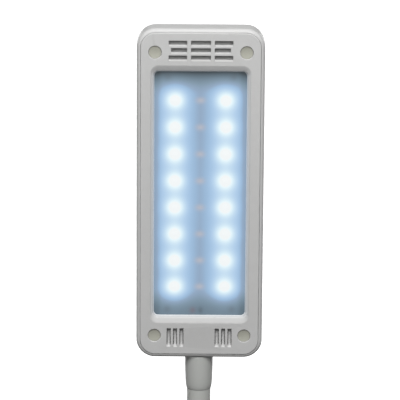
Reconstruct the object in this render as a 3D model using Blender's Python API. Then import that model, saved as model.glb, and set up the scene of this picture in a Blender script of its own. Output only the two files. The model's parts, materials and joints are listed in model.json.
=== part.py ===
"""Clip-on LED reading lamp: a flat light head on a gooseneck that rises from a sprung clip.

Frame: metres, +Z up. The origin is the centre of the upper jaw pad's gripping face, so a board
that the clip holds lies against z = 0 and reaches in from -Y. The lamp faces -Y. X is across it.
Lengths below are in millimetres, and MM turns them into metres. The layout below measures y from
a point 33 mm behind the pad's centre, and ORIGIN moves the finished pieces to the frame.
"""

import math

import bmesh
import bpy
from mathutils import Matrix, Vector

MM = 0.001
GAP = 0.3  # between pieces that touch on the real lamp

# ------------------------------------------------------------------ driving dimensions (mm)
# light head
HEAD_W, HEAD_H, HEAD_T = 60.0, 159.4, 16.0  # width, height, thickness
HEAD_CORNER = 9.0
LIP = 1.75  # the shell's rounded lip round the bezel
BEZEL_INSET = 2.05
WINDOW_X, WINDOW_V, WINDOW_CORNER = 21.7, 59.1, 2.1  # half the clear glass
STEP_X, STEP_V, STEP_CORNER, STEP_DEPTH = 22.3, 59.7, 2.6, 1.4  # foot of the gentle bevel
BEVEL_X, BEVEL_V, BEVEL_CORNER = 23.45, 62.3, 3.8  # the bevel's edge on the front face
LENS_DEPTH, LENS_T = 3.4, 1.6
PLUG_X, PLUG_V, PLUG_R = 21.35, 68.6, 3.2
LED_X, LED_PITCH, LED_ROWS = 11.9, 12.93, 8
BOARD_SCREW_X, BOARD_SCREW_V = 15.35, 56.5
BOARD_D0, BOARD_D1 = 7.0, 8.2
# gooseneck
NECK_Y = 14.0
NECK_R, NECK_BORE = 5.7, 3.9
NECK_LENGTH = 300.0  # from the clip housing to the light head
COIL_R, COIL_BORE = 3.6, 2.2
CABLE_R = 1.6
COLLAR_H = 18.0
HINGES = 7
# clip housing
BASE_X, BASE_Y0, BASE_Y1 = 28.0, -54.0, 48.0  # half width, front end, rear end
BASE_CORNER = 10.0
PLATE_Z0, PLATE_Z1 = 2.3, 5.3
COVER_Z0, COVER_Z1 = 5.6, 22.0
SLOPE_Y, TIP_Z = -22.0, 13.0  # in front of SLOPE_Y the top falls to TIP_Z at the tip
WALL = 2.0
BUTTON_X, BUTTON_Y, BUTTON_R = 11.0, -8.0, 6.0
BASE_SCREWS = [(-22.0, 37.0), (22.0, 37.0)]
# jaws
PAD_X, PAD_Y0, PAD_Y1, PAD_T = 17.5, -52.0, -14.0, 2.0
JAW_GAP = 3.0  # between the pads when the clip is shut
PIVOT_Y, PIVOT_Z = 2.0, -11.0
HANDLE_ANGLE = 33.0  # how far the lever's handle falls away from the housing
LEVER_X = 24.0
PIN_R, PIN_BORE = 1.5, 1.8
EAR_X0, EAR_X1 = 13.0, 16.5
WEB_X0, WEB_X1 = 17.0, 20.5

ORIGIN = Vector((0, (PAD_Y0 + PAD_Y1) / 2, 0))
HEAD_Z0 = COVER_Z1 + NECK_LENGTH
HEAD_Z1 = HEAD_Z0 + HEAD_H
HEAD_ZC = (HEAD_Z0 + HEAD_Z1) / 2
HEAD_Y0 = NECK_Y - HEAD_T / 2  # the bezel's front face
NECK_Z0 = COVER_Z1 + COLLAR_H
NECK_Z1 = HEAD_Z0 - COLLAR_H
PITCH = (NECK_Z1 - NECK_Z0) / HINGES
HINGE_Z = [NECK_Z0 + PITCH * (k + 0.5) for k in range(HINGES)]

# ------------------------------------------------------------------ scene, materials, bodies
for old in list(bpy.data.objects):
    bpy.data.objects.remove(old, do_unlink=True)


def material(name, colour, roughness, metallic=0.0):
    m = bpy.data.materials.new(name)
    m.use_nodes = True
    shader = m.node_tree.nodes["Principled BSDF"]
    shader.inputs["Base Color"].default_value = (*colour, 1.0)
    shader.inputs["Roughness"].default_value = roughness
    shader.inputs["Metallic"].default_value = metallic
    return m


HOUSING = material("housing_plastic", (0.62, 0.62, 0.61), 0.42)
SLEEVE = material("sleeve_silicone", (0.50, 0.51, 0.49), 0.55)
PAD_RUBBER = material("pad_rubber", (0.16, 0.16, 0.165), 0.85)
PLUG_RUBBER = material("plug_rubber", (0.50, 0.50, 0.44), 0.7)
LENS = material("diffuser_acrylic", (0.62, 0.74, 0.86), 0.35)
BOARD = material("circuit_board", (0.80, 0.82, 0.83), 0.45)
COOL_LED = material("cool_white_led", (0.90, 0.93, 0.80), 0.3)
WARM_LED = material("warm_white_led", (0.86, 0.62, 0.36), 0.3)
STEEL = material("steel", (0.55, 0.55, 0.56), 0.3, 1.0)
BLACK_PLASTIC = material("black_plastic", (0.05, 0.05, 0.055), 0.5)
CABLE_PVC = material("cable_pvc", (0.12, 0.12, 0.125), 0.6)
RED_PVC = material("red_wire", (0.55, 0.05, 0.04), 0.5)

bodies = {}


def body(name, parent, at):
    """An empty on the joint's axis. The pieces of one moving body are parented to it."""
    empty = bpy.data.objects.new(name, None)
    empty.empty_display_size = 0.01
    bpy.context.scene.collection.objects.link(empty)
    here = (Vector(at) - ORIGIN) * MM
    if parent:
        empty.parent = bodies[parent][0]
        empty.location = here - bodies[parent][1]
    else:
        empty.location = here
    bodies[name] = (empty, here)


body("body_clip_base", None, ORIGIN)
body("body_lower_jaw", "body_clip_base", (0, PIVOT_Y, PIVOT_Z))
body("body_power_button", "body_clip_base", (-BUTTON_X, BUTTON_Y, COVER_Z1))
body("body_colour_button", "body_clip_base", (BUTTON_X, BUTTON_Y, COVER_Z1))
previous = "body_clip_base"
for k in range(1, HINGES):
    body(f"body_neck_{k + 1}", previous, (0, NECK_Y, HINGE_Z[k - 1]))
    previous = f"body_neck_{k + 1}"
body("body_head", previous, (0, NECK_Y, HINGE_Z[-1]))


# ------------------------------------------------------------------ modelling helpers
def finish(bm, name, mat=None, owner="body_clip_base", sharp=35.0):
    """Turns a bmesh in millimetres and world axes into an object parented to its body."""
    bmesh.ops.remove_doubles(bm, verts=bm.verts, dist=1e-5)
    bmesh.ops.recalc_face_normals(bm, faces=bm.faces)
    empty, at = bodies[owner]
    for v in bm.verts:
        v.co = (v.co - ORIGIN) * MM - at
    mesh = bpy.data.meshes.new(name)
    bm.to_mesh(mesh)
    bm.free()
    mesh.shade_smooth()
    mesh.set_sharp_from_angle(angle=math.radians(sharp))
    obj = bpy.data.objects.new(name, mesh)
    bpy.context.scene.collection.objects.link(obj)
    obj.parent = empty
    if mat:
        mesh.materials.append(mat)
    return obj


def combine(target, operation, tools):
    """Cuts the tools from the target, or joins them to it, and removes them."""
    for tool in tools:
        m = target.modifiers.new("bool", "BOOLEAN")
        m.operation, m.solver, m.object = operation, "EXACT", tool
        bpy.context.view_layer.update()
        made = bpy.data.meshes.new_from_object(
            target.evaluated_get(bpy.context.evaluated_depsgraph_get())
        )
        target.modifiers.clear()
        mats = list(target.data.materials)
        target.data = made
        if mats:
            target.data.materials.clear()
            target.data.materials.append(mats[0])
            for p in target.data.polygons:
                p.material_index = 0
        bpy.data.objects.remove(tool, do_unlink=True)
    bm = bmesh.new()
    bm.from_mesh(target.data)
    bmesh.ops.remove_doubles(bm, verts=bm.verts, dist=1e-6)
    bmesh.ops.dissolve_degenerate(bm, edges=bm.edges, dist=1e-6)
    bm.to_mesh(target.data)
    bm.free()
    target.data.shade_smooth()
    target.data.set_sharp_from_angle(angle=math.radians(35))
    return target


def rounded(w, h, r, n=5, extra=()):
    """A rounded rectangle, mirror-symmetric about x = 0: the right side from top to bottom, then the left side back up. extra gives more heights on the straight sides."""
    half_w, half_h = w / 2, h / 2
    right = []
    for i in range(n + 1):
        a = math.pi / 2 * (1 - i / n)
        right.append((half_w - r + r * math.cos(a), half_h - r + r * math.sin(a)))
    for e in sorted(extra, reverse=True):
        right.append((half_w, e))
    for i in range(n + 1):
        a = -math.pi / 2 * i / n
        right.append((half_w - r + r * math.cos(a), -half_h + r + r * math.sin(a)))
    return right + [(-x, y) for x, y in reversed(right)]


def loft(bm, rings, caps=(True, True), closed=False):
    """Skins rings of equal length. A cap is filled in strips across x, so that it may be bent along the other axis."""
    n = len(rings[0])
    vs = [[bm.verts.new(p) for p in ring] for ring in rings]
    pairs = list(zip(vs, vs[1:]))
    if closed:
        pairs.append((vs[-1], vs[0]))
    for a, b in pairs:
        for i in range(n):
            j = (i + 1) % n
            bm.faces.new((a[i], a[j], b[j], b[i]))
    for ring, wanted in ((vs[0], caps[0]), (vs[-1], caps[1])):
        if closed or not wanted:
            continue
        for i in range(n // 2 - 1):
            bm.faces.new((ring[i], ring[i + 1], ring[n - 2 - i], ring[n - 1 - i]))


def turned(bm, profile, n, place=Matrix.Identity(4), close=True, start=0.0):
    """Revolves (radius, height) points about the local z axis. close joins the last point to the first, for a ring or tube."""
    rings = []
    for r, z in profile:
        if r < 1e-6:
            rings.append([bm.verts.new(place @ Vector((0, 0, z)))])
        else:
            rings.append(
                [
                    bm.verts.new(
                        place
                        @ Vector(
                            (
                                r * math.cos(start + 2 * math.pi * i / n),
                                r * math.sin(start + 2 * math.pi * i / n),
                                z,
                            )
                        )
                    )
                    for i in range(n)
                ]
            )
    pairs = list(zip(rings, rings[1:]))
    if close:
        pairs.append((rings[-1], rings[0]))
    for a, b in pairs:
        if len(a) == 1 and len(b) == 1:
            continue
        for i in range(n):
            j = (i + 1) % n
            if len(a) == 1:
                bm.faces.new((a[0], b[i], b[j]))
            elif len(b) == 1:
                bm.faces.new((a[i], a[j], b[0]))
            else:
                bm.faces.new((a[i], a[j], b[j], b[i]))


def box(bm, x0, x1, y0, y1, z0, z1):
    v = [
        bm.verts.new((x, y, z)) for z in (z0, z1) for y in (y0, y1) for x in (x0, x1)
    ]
    for f in (
        (0, 2, 3, 1),
        (4, 5, 7, 6),
        (0, 1, 5, 4),
        (2, 6, 7, 3),
        (0, 4, 6, 2),
        (1, 3, 7, 5),
    ):
        bm.faces.new([v[i] for i in f])


def prism_x(bm, outline, x0, x1):
    """A (y, z) outline, drawn out along x."""
    a = [bm.verts.new((x0, y, z)) for y, z in outline]
    b = [bm.verts.new((x1, y, z)) for y, z in outline]
    n = len(outline)
    for i in range(n):
        j = (i + 1) % n
        bm.faces.new((a[i], a[j], b[j], b[i]))
    bm.faces.new(a)
    bm.faces.new(list(reversed(b)))


def along_x(x, y, z):
    """Places a turned shape with its axis along +X."""
    return Matrix.Translation((x, y, z)) @ Matrix.Rotation(math.radians(90), 4, "Y")


def along_y(x, y, z):
    """Places a turned shape with its axis along +Y, into the head."""
    return Matrix.Translation((x, y, z)) @ Matrix.Rotation(math.radians(-90), 4, "X")


def head_ring(w, h, r, depth, n=5, centre=0.0):
    """A rounded rectangle in the plane at this depth behind the bezel's face."""
    return [
        Vector((x, HEAD_Y0 + depth, HEAD_ZC + centre + v))
        for x, v in rounded(w, h, r, n)
    ]


def tube_along(bm, points, radius, n=6):
    """A closed round rod through points, with its end faces square to it."""
    rings, normal = [], None
    for i, p in enumerate(points):
        a, b = points[max(i - 1, 0)], points[min(i + 1, len(points) - 1)]
        t = (b - a).normalized()
        if normal is None:
            normal = t.orthogonal().normalized()
        normal = (normal - t * normal.dot(t)).normalized()
        side = t.cross(normal)
        rings.append(
            [
                bm.verts.new(
                    p
                    + normal * radius * math.cos(2 * math.pi * k / n)
                    + side * radius * math.sin(2 * math.pi * k / n)
                )
                for k in range(n)
            ]
        )
    for a, b in zip(rings, rings[1:]):
        for i in range(n):
            j = (i + 1) % n
            bm.faces.new((a[i], a[j], b[j], b[i]))
    bm.faces.new(rings[0])
    bm.faces.new(list(reversed(rings[-1])))


def smooth_path(points, steps):
    """Catmull-Rom through the points."""
    pts = [Vector(p) for p in points]
    pts = [pts[0] * 2 - pts[1]] + pts + [pts[-1] * 2 - pts[-2]]
    out = []
    for i in range(1, len(pts) - 2):
        a, b, c, d = pts[i - 1 : i + 3]
        for s in range(steps):
            t = s / steps
            out.append(
                0.5
                * (
                    2 * b
                    + (c - a) * t
                    + (2 * a - 5 * b + 4 * c - d) * t * t
                    + (3 * b - a - 3 * c + d) * t**3
                )
            )
    out.append(pts[-2])
    return out


# ------------------------------------------------------------------ light head: rear shell
def shell_rings():
    t = 2.0
    lip_depth = 2.6
    inner_w, inner_h, inner_r = HEAD_W - 2 * t, HEAD_H - 2 * t, HEAD_CORNER - t
    rings = [
        head_ring(inner_w - 3, inner_h - 3, inner_r - 1.5, HEAD_T - t),
        head_ring(inner_w, inner_h, inner_r, HEAD_T - t - 1.5),
        head_ring(inner_w, inner_h, inner_r, 3.4),
        head_ring(HEAD_W - 2 * LIP, HEAD_H - 2 * LIP, HEAD_CORNER - LIP, 3.0),
    ]
    # the front lip is rounded, and starts just behind the bezel's face
    front = 0.35
    for i in range(4):
        a = math.pi / 2 * i / 3
        inset = LIP * (1 - math.sin(a))
        rings.append(
            head_ring(
                HEAD_W - 2 * inset,
                HEAD_H - 2 * inset,
                HEAD_CORNER - inset,
                front + (lip_depth - front) * (1 - math.cos(a)),
            )
        )
    back = 3.0
    for i in range(4):
        a = math.pi / 2 * i / 3
        inset = back * (1 - math.cos(a))
        rings.append(
            head_ring(
                HEAD_W - 2 * inset,
                HEAD_H - 2 * inset,
                HEAD_CORNER - inset,
                HEAD_T - back + back * math.sin(a),
            )
        )
    return rings


bm = bmesh.new()
loft(bm, shell_rings())
rear_shell = finish(bm, "head_rear_shell", HOUSING, "body_head")

bosses = []
for sx in (-1, 1):
    for sv in (-1, 1):
        for x, v, r, d0 in (
            (PLUG_X, PLUG_V, 3.0, 5.6),
            (BOARD_SCREW_X, BOARD_SCREW_V, 2.3, BOARD_D1 + GAP),
        ):
            bm = bmesh.new()
            turned(
                bm,
                [(0, 0), (r, 0), (r, HEAD_T - 1.2 - d0), (0, HEAD_T - 1.2 - d0)],
                12,
                along_y(sx * x, HEAD_Y0 + d0, HEAD_ZC + sv * v),
                close=False,
            )
            bosses.append(finish(bm, "boss", None, "body_head"))
combine(rear_shell, "UNION", bosses)
holes = []
for sx in (-1, 1):
    for sv in (-1, 1):
        for x, v, r, d0 in (
            (PLUG_X, PLUG_V, 1.4, 5.0),
            (BOARD_SCREW_X, BOARD_SCREW_V, 1.05, BOARD_D1),
        ):
            bm = bmesh.new()
            turned(
                bm,
                [(0, 0), (r, 0), (r, 12.9 - d0), (0, 12.9 - d0)],
                10,
                along_y(sx * x, HEAD_Y0 + d0, HEAD_ZC + sv * v),
                close=False,
            )
            holes.append(finish(bm, "hole", None, "body_head"))
bm = bmesh.new()
turned(
    bm,
    [(0, HEAD_Z0 - 2), (4.2, HEAD_Z0 - 2), (4.2, HEAD_Z0 + 4), (0, HEAD_Z0 + 4)],
    16,
    Matrix.Translation((0, NECK_Y, 0)),
    close=False,
)
holes.append(finish(bm, "hole", None, "body_head"))
combine(rear_shell, "DIFFERENCE", holes)

# ------------------------------------------------------------------ light head: front bezel
bm = bmesh.new()
edge = 0.35
bezel_w, bezel_h = HEAD_W - 2 * BEZEL_INSET, HEAD_H - 2 * BEZEL_INSET
bezel_r = HEAD_CORNER - BEZEL_INSET
loft(
    bm,
    [
        head_ring(bezel_w, bezel_h, bezel_r, edge),
        head_ring(bezel_w - 2 * edge, bezel_h - 2 * edge, bezel_r - edge, 0),
        head_ring(2 * BEVEL_X, 2 * BEVEL_V, BEVEL_CORNER, 0),
        head_ring(2 * STEP_X, 2 * STEP_V, STEP_CORNER, STEP_DEPTH),
        head_ring(2 * WINDOW_X, 2 * WINDOW_V, WINDOW_CORNER, LENS_DEPTH - GAP),
        head_ring(2 * WINDOW_X + 2.6, 2 * WINDOW_V + 2.6, WINDOW_CORNER + 1.3, LENS_DEPTH - GAP),
        head_ring(2 * BEVEL_X + 1.6, 2 * BEVEL_V + 0.6, BEVEL_CORNER, 2.0),
        head_ring(bezel_w, bezel_h, bezel_r, 2.0),
    ],
    closed=True,
)
bezel = finish(bm, "head_front_bezel", HOUSING, "body_head")
wells, well_cuts = [], []
for sx in (-1, 1):
    for sv in (-1, 1):
        bm = bmesh.new()
        turned(
            bm,
            [(0, 1.0), (4.3, 1.0), (4.3, 5.3), (0, 5.3)],
            16,
            along_y(sx * PLUG_X, HEAD_Y0, HEAD_ZC + sv * PLUG_V),
            close=False,
        )
        wells.append(finish(bm, "well", None, "body_head"))
        bm = bmesh.new()
        turned(
            bm,
            [
                (0, -0.5),
                (PLUG_R + 0.85, -0.5),
                (PLUG_R, 0.35),
                (PLUG_R, 3.4),
                (1.5, 3.4),
                (1.5, 6),
                (0, 6),
            ],
            16,
            along_y(sx * PLUG_X, HEAD_Y0, HEAD_ZC + sv * PLUG_V),
            close=False,
        )
        well_cuts.append(finish(bm, "well_cut", None, "body_head"))
combine(bezel, "UNION", wells)
combine(bezel, "DIFFERENCE", well_cuts)


def vent_cutters():
    """Nine level slots above the window, and six upright ramped slots below it."""
    bm = bmesh.new()
    y0 = HEAD_Y0
    for row, v in enumerate((73.55, 70.0, 66.55)):
        end = 13.95 if row == 1 else 15.05
        for x0, x1 in ((-end, -6.4), (-4.65, 4.65), (6.4, end)):
            z = HEAD_ZC + v
            prism_x(
                bm,
                [
                    (y0 - 1.0, z + 0.75),
                    (y0 + 1.5, z + 0.75),
                    (y0 + 1.5, z - 0.75),
                    (y0 + 0.9, z - 0.75),
                    (y0, z - 1.8),
                    (y0 - 1.0, z - 1.8),
                ],
                x0,
                x1,
            )
    for sx in (-1, 1):
        for x in (8.4, 11.45, 14.5):
            z1, z0 = HEAD_ZC - 65.0, HEAD_ZC - 74.2
            prism_x(
                bm,
                [
                    (y0 - 1.0, z1),
                    (y0 + 1.6, z1),
                    (y0 + 1.6, z1 - 1.2),
                    (y0 + 0.8, z0 + 1.2),
                    (y0, z0),
                    (y0 - 1.0, z0),
                ],
                sx * x - 0.98,
                sx * x + 0.98,
            )
    return finish(bm, "vent_cutters", None, "body_head")


combine(bezel, "DIFFERENCE", [vent_cutters()])

# ------------------------------------------------------------------ light head: inside
bm = bmesh.new()
lens_w, lens_h, lens_r = 2 * WINDOW_X + 2.6, 2 * WINDOW_V + 2.6, WINDOW_CORNER + 1.3
loft(
    bm,
    [
        head_ring(lens_w, lens_h, lens_r, LENS_DEPTH),
        head_ring(lens_w, lens_h, lens_r, LENS_DEPTH + LENS_T),
    ],
)
finish(bm, "diffuser_lens", LENS, "body_head")

bm = bmesh.new()
loft(
    bm,
    [head_ring(42.0, 120.0, 2.0, BOARD_D0, 2), head_ring(42.0, 120.0, 2.0, BOARD_D1, 2)],
)
led_board = finish(bm, "led_board", BOARD, "body_head")
cuts = []
for sx in (-1, 1):
    for sv in (-1, 1):
        bm = bmesh.new()
        turned(
            bm,
            [(0, 6), (1.15, 6), (1.15, 10), (0, 10)],
            10,
            along_y(sx * BOARD_SCREW_X, HEAD_Y0, HEAD_ZC + sv * BOARD_SCREW_V),
            close=False,
        )
        cuts.append(finish(bm, "hole", None, "body_head"))
combine(led_board, "DIFFERENCE", cuts)


def led_packages(columns, w, h):
    """Square packages that stand on the board in rows, sunk a little into it for the union."""
    bm = bmesh.new()
    first = LED_PITCH * (LED_ROWS - 1) / 2
    for row in range(LED_ROWS):
        for x in columns:
            v = first - LED_PITCH * row
            box(
                bm,
                x - w / 2,
                x + w / 2,
                HEAD_Y0 + BOARD_D0 - 0.75,
                HEAD_Y0 + BOARD_D0 + 0.3,
                HEAD_ZC + v - h / 2,
                HEAD_ZC + v + h / 2,
            )
    return finish(bm, "packages", None, "body_head")


# cool white in the outer columns, warm white down the middle
combine(led_board, "UNION", [led_packages((-LED_X, 0.0, LED_X), 3.5, 2.8)])


def screw_profile(head_r, head_h, shank_r, length):
    """A pan-head screw, its head's crown at height 0 and its tip at +length."""
    return [
        (0, 0),
        (head_r * 0.72, 0.0),
        (head_r, head_h * 0.45),
        (head_r, head_h),
        (shank_r, head_h),
        (shank_r, length - shank_r),
        (0, length),
    ]


def each(name, profile, places, mat, owner, n=10):
    """One object for each place, all turned from the same profile."""
    for where, place in places.items():
        bm = bmesh.new()
        turned(bm, profile, n, place, close=False)
        finish(bm, f"{name}_{where}", mat, owner)


def head_corners(x, v, depth):
    return {
        f"{'upper' if sv > 0 else 'lower'}_{'right' if sx > 0 else 'left'}": along_y(
            sx * x, HEAD_Y0 + depth, HEAD_ZC + sv * v
        )
        for sx in (-1, 1)
        for sv in (-1, 1)
    }


each(
    "led_board_screw",
    screw_profile(1.8, 1.2, 0.75, 4.5),
    head_corners(BOARD_SCREW_X, BOARD_SCREW_V, BOARD_D0 - GAP - 1.2),
    STEEL,
    "body_head",
)
each(
    "bezel_screw",
    screw_profile(2.5, 1.4, 1.05, 9.5),
    head_corners(PLUG_X, PLUG_V, 1.7),
    STEEL,
    "body_head",
)
each(
    "screw_cover_plug",
    [(0, 0.6), (PLUG_R - 0.45, 0.6), (PLUG_R - GAP, 0.75), (PLUG_R - GAP, 1.4), (0, 1.4)],
    head_corners(PLUG_X, PLUG_V, 0),
    PLUG_RUBBER,
    "body_head",
    16,
)

# the two supply leads run from the neck's cable to the foot of the LED board
LEAD_FOOT = HEAD_ZC - 57.5
for name, x, mat in (("red_lead", -3.2, RED_PVC), ("black_lead", 0.6, CABLE_PVC)):
    bm = bmesh.new()
    start = -0.9 if name == "red_lead" else 0.9
    tube_along(
        bm,
        smooth_path(
            [
                (start, NECK_Y, HEAD_Z0 + 12.6),
                (start * 1.2, NECK_Y - 0.2, HEAD_Z0 + 15.0),
                (x * 0.9, NECK_Y - 1.4, HEAD_Z0 + 17.4),
                (x, HEAD_Y0 + BOARD_D0 - 0.9, HEAD_Z0 + 20.0),
                (x, HEAD_Y0 + BOARD_D0 - 0.9, LEAD_FOOT),
            ],
            3,
        ),
        0.55,
    )
    finish(bm, name, mat, "body_head")

# ------------------------------------------------------------------ gooseneck
# Each length ends upwards in a ball centred on the hinge above it, and starts in a cup round the
# ball below. The ball and cup let it bend without a gap, as the flexible tube does.
CUP_R = NECK_R + GAP
CUP_RIM = 2.4
BALL_TOP = math.sqrt(NECK_R**2 - NECK_BORE**2)
CUP_TOP = math.sqrt(CUP_R**2 - NECK_BORE**2)


def sleeve_profile(z0, z1, cup, ball):
    """(radius, height) round one length of the silicone sleeve."""
    p = []
    if cup:
        a0 = math.asin(CUP_RIM / CUP_R)
        a1 = math.asin(CUP_TOP / CUP_R)
        p.append((NECK_R, z0 + CUP_RIM))
        for i in range(3):
            a = a0 + (a1 - a0) * i / 2
            p.append((CUP_R * math.cos(a), z0 + CUP_R * math.sin(a)))
    else:
        p += [(NECK_R, z0), (NECK_BORE, z0)]
    if ball:
        a1 = math.asin(BALL_TOP / NECK_R)
        for i in range(3):
            a = a1 * (1 - i / 3)
            p.append((NECK_R * math.cos(a), z1 + NECK_R * math.sin(a)))
        p.append((NECK_R, z1))
    else:
        p += [(NECK_BORE, z1), (NECK_R, z1)]
    return p


stations = [COVER_Z1 + GAP] + HINGE_Z + [HEAD_Z0 - GAP]
here = Matrix.Translation((0, NECK_Y, 0))
for k in range(HINGES + 1):
    first, last = k == 0, k == HINGES
    owner = "body_clip_base" if first else "body_head" if last else f"body_neck_{k + 1}"
    bm = bmesh.new()
    turned(
        bm,
        sleeve_profile(stations[k], stations[k + 1], not first, not last),
        16,
        here,
    )
    finish(bm, f"neck_sleeve_{k + 1}", SLEEVE, owner)
    z0 = COVER_Z1 - 9.0 if first else stations[k] + 7.0
    z1 = HEAD_Z0 + 9.0 if last else stations[k + 1] + 3.0
    bm = bmesh.new()
    turned(bm, [(COIL_BORE, z0), (COIL_R, z0), (COIL_R, z1), (COIL_BORE, z1)], 12, here)
    finish(bm, f"neck_coil_{k + 1}", STEEL, owner)
    z0 = COVER_Z1 - 10.0 if first else stations[k] + 5.9
    z1 = HEAD_Z0 + 12.0 if last else stations[k + 1] + 3.0
    bm = bmesh.new()
    turned(bm, [(0, z0), (CABLE_R, z0), (CABLE_R, z1), (0, z1)], 8, here, close=False)
    finish(bm, f"neck_cable_{k + 1}", CABLE_PVC, owner)


def collar(name, zs, owner):
    """zs holds (outer radius, height) from the housing outwards along the neck."""
    bm = bmesh.new()
    bore = NECK_R + GAP
    turned(bm, [(bore, zs[0][1])] + zs + [(bore, zs[-1][1])], 20, here)
    finish(bm, name, SLEEVE, owner)


collar(
    "neck_top_collar",
    [
        (6.7, HEAD_Z0 - GAP),
        (6.68, HEAD_Z0 - 5.0),
        (6.55, HEAD_Z0 - 12.0),
        (6.4, HEAD_Z0 - 15.2),
        (6.25, HEAD_Z0 - 17.1),
    ],
    "body_head",
)
collar(
    "neck_base_collar",
    [
        (8.6, COVER_Z1 + GAP),
        (8.6, COVER_Z1 + 2.4),
        (7.8, COVER_Z1 + 4.0),
        (7.2, COVER_Z1 + 9.0),
        (6.6, COVER_Z1 + 14.6),
        (6.25, COVER_Z1 + 17.1),
    ],
    "body_clip_base",
)


def hex_nut(name, flats, z0, z1, owner):
    bm = bmesh.new()
    r = flats / math.sqrt(3)
    outer = [
        [Vector((r * math.cos(a), NECK_Y + r * math.sin(a), z)) for a in
         [math.radians(15 + 15 * i) for i in range(24)]]
        for z in (z0, z1)
    ]
    # pull the 24 points onto a hexagon with flats at the front and back
    for ring in outer:
        for p in ring:
            a = math.atan2(p.y - NECK_Y, p.x)
            m = (a - math.radians(0)) % math.radians(60) - math.radians(30)
            d = flats / 2 / math.cos(m)
            p.x, p.y = d * math.cos(a), NECK_Y + d * math.sin(a)
    bore = COIL_R + GAP
    inner = [
        [Vector((bore * math.cos(a), NECK_Y + bore * math.sin(a), z)) for a in
         [math.radians(15 + 15 * i) for i in range(24)]]
        for z in (z1, z0)
    ]
    loft(bm, outer + inner, closed=True)
    finish(bm, name, STEEL, owner)


hex_nut("neck_top_nut", 9.4, HEAD_Z0 + 2.0 + GAP, HEAD_Z0 + 6.3, "body_head")
hex_nut("neck_base_nut", 12.0, COVER_Z1 - WALL - GAP - 4.0, COVER_Z1 - WALL - GAP, "body_clip_base")

# ------------------------------------------------------------------ clip housing: top cover
BASE_YC = (BASE_Y0 + BASE_Y1) / 2
BASE_L = BASE_Y1 - BASE_Y0


def top_at(y):
    """Height of the housing's top above y."""
    if y >= SLOPE_Y:
        return COVER_Z1
    return COVER_Z1 - (COVER_Z1 - TIP_Z) * (SLOPE_Y - y) / (SLOPE_Y - BASE_Y0)


def base_ring(inset, share, lower=0.0, corner=BASE_CORNER):
    """An outline of the housing, drawn in by inset. share runs from 0 at the lower edge to 1 at the top, and lower takes the top down."""
    pts = rounded(
        2 * (BASE_X - inset),
        BASE_L - 2 * inset,
        max(corner - inset, 1.0),
        5,
        extra=(SLOPE_Y - BASE_YC,),
    )
    out = []
    for x, v in pts:
        y = BASE_YC + v
        top = top_at(y) - lower
        out.append(Vector((x, y, COVER_Z0 + (top - COVER_Z0) * share)))
    return out


def base_rings():
    rings = [
        base_ring(WALL, 1.0, WALL),
        base_ring(WALL, 0.0),
        base_ring(0.0, 0.0),
    ]
    edge_r = 3.0
    for i in range(4):
        a = math.pi / 2 * i / 3
        rings.append(
            base_ring(edge_r * (1 - math.cos(a)) + 0.001, 1.0, edge_r * (1 - math.sin(a)))
        )
    return rings


bm = bmesh.new()
loft(bm, base_rings())
cover = finish(bm, "base_top_cover", HOUSING)
bosses = []
for x, y in BASE_SCREWS:
    bm = bmesh.new()
    turned(
        bm,
        [(0, COVER_Z0), (3.2, COVER_Z0), (3.2, top_at(y) - 1.2), (0, top_at(y) - 1.2)],
        12,
        Matrix.Translation((x, y, 0)),
        close=False,
    )
    bosses.append(finish(bm, "boss"))
combine(cover, "UNION", bosses)
cuts = []
for x, y in BASE_SCREWS:
    bm = bmesh.new()
    turned(
        bm,
        [(0, COVER_Z0 - 1), (1.35, COVER_Z0 - 1), (1.35, COVER_Z0 + 7.0), (0, COVER_Z0 + 7.0)],
        10,
        Matrix.Translation((x, y, 0)),
        close=False,
    )
    cuts.append(finish(bm, "hole"))
for x in (-BUTTON_X, BUTTON_X):
    bm = bmesh.new()
    r = BUTTON_R + GAP
    turned(
        bm,
        [(0, COVER_Z1 - 4), (r, COVER_Z1 - 4), (r, COVER_Z1 + 2), (0, COVER_Z1 + 2)],
        20,
        Matrix.Translation((x, BUTTON_Y, 0)),
        close=False,
    )
    cuts.append(finish(bm, "hole"))
bm = bmesh.new()
turned(
    bm,
    [(0, COVER_Z1 - 4), (4.2, COVER_Z1 - 4), (4.2, COVER_Z1 + 2), (0, COVER_Z1 + 2)],
    16,
    here,
    close=False,
)
cuts.append(finish(bm, "hole"))


def usb_outline(w, h, z, n=3):
    """An oblong with round ends, in x and z about the port's centre."""
    return [(x, z + v) for x, v in rounded(w, h, h / 2 - 0.01, n)]


USB_Z = 12.4
bm = bmesh.new()
loft(
    bm,
    [
        [Vector((x, y, z)) for x, z in usb_outline(9.8, 4.0, USB_Z)]
        for y in (BASE_Y1 - WALL - 1, BASE_Y1 + 1)
    ],
)
cuts.append(finish(bm, "hole"))
combine(cover, "DIFFERENCE", cuts)

# ------------------------------------------------------------------ clip housing: bottom plate
bm = bmesh.new()
loft(
    bm,
    [
        [Vector((x, BASE_YC + v, z)) for x, v in rounded(2 * (BASE_X - i), BASE_L - 2 * i, BASE_CORNER - i, 5)]
        for i, z in ((0, PLATE_Z1), (0, PLATE_Z0 + 0.8), (0.8, PLATE_Z0))
    ],
)
plate = finish(bm, "base_bottom_plate", HOUSING)
adds = []
ear = [(PIVOT_Y - 7.5, PLATE_Z0 + 1.0), (PIVOT_Y + 7.5, PLATE_Z0 + 1.0)]
for i in range(9):
    a = math.pi * i / 8
    ear.append((PIVOT_Y + 5.4 * math.cos(a), PIVOT_Z - 5.4 * math.sin(a)))
for s in (-1, 1):
    bm = bmesh.new()
    prism_x(bm, ear, s * EAR_X0, s * EAR_X1)
    adds.append(finish(bm, "ear"))
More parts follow.
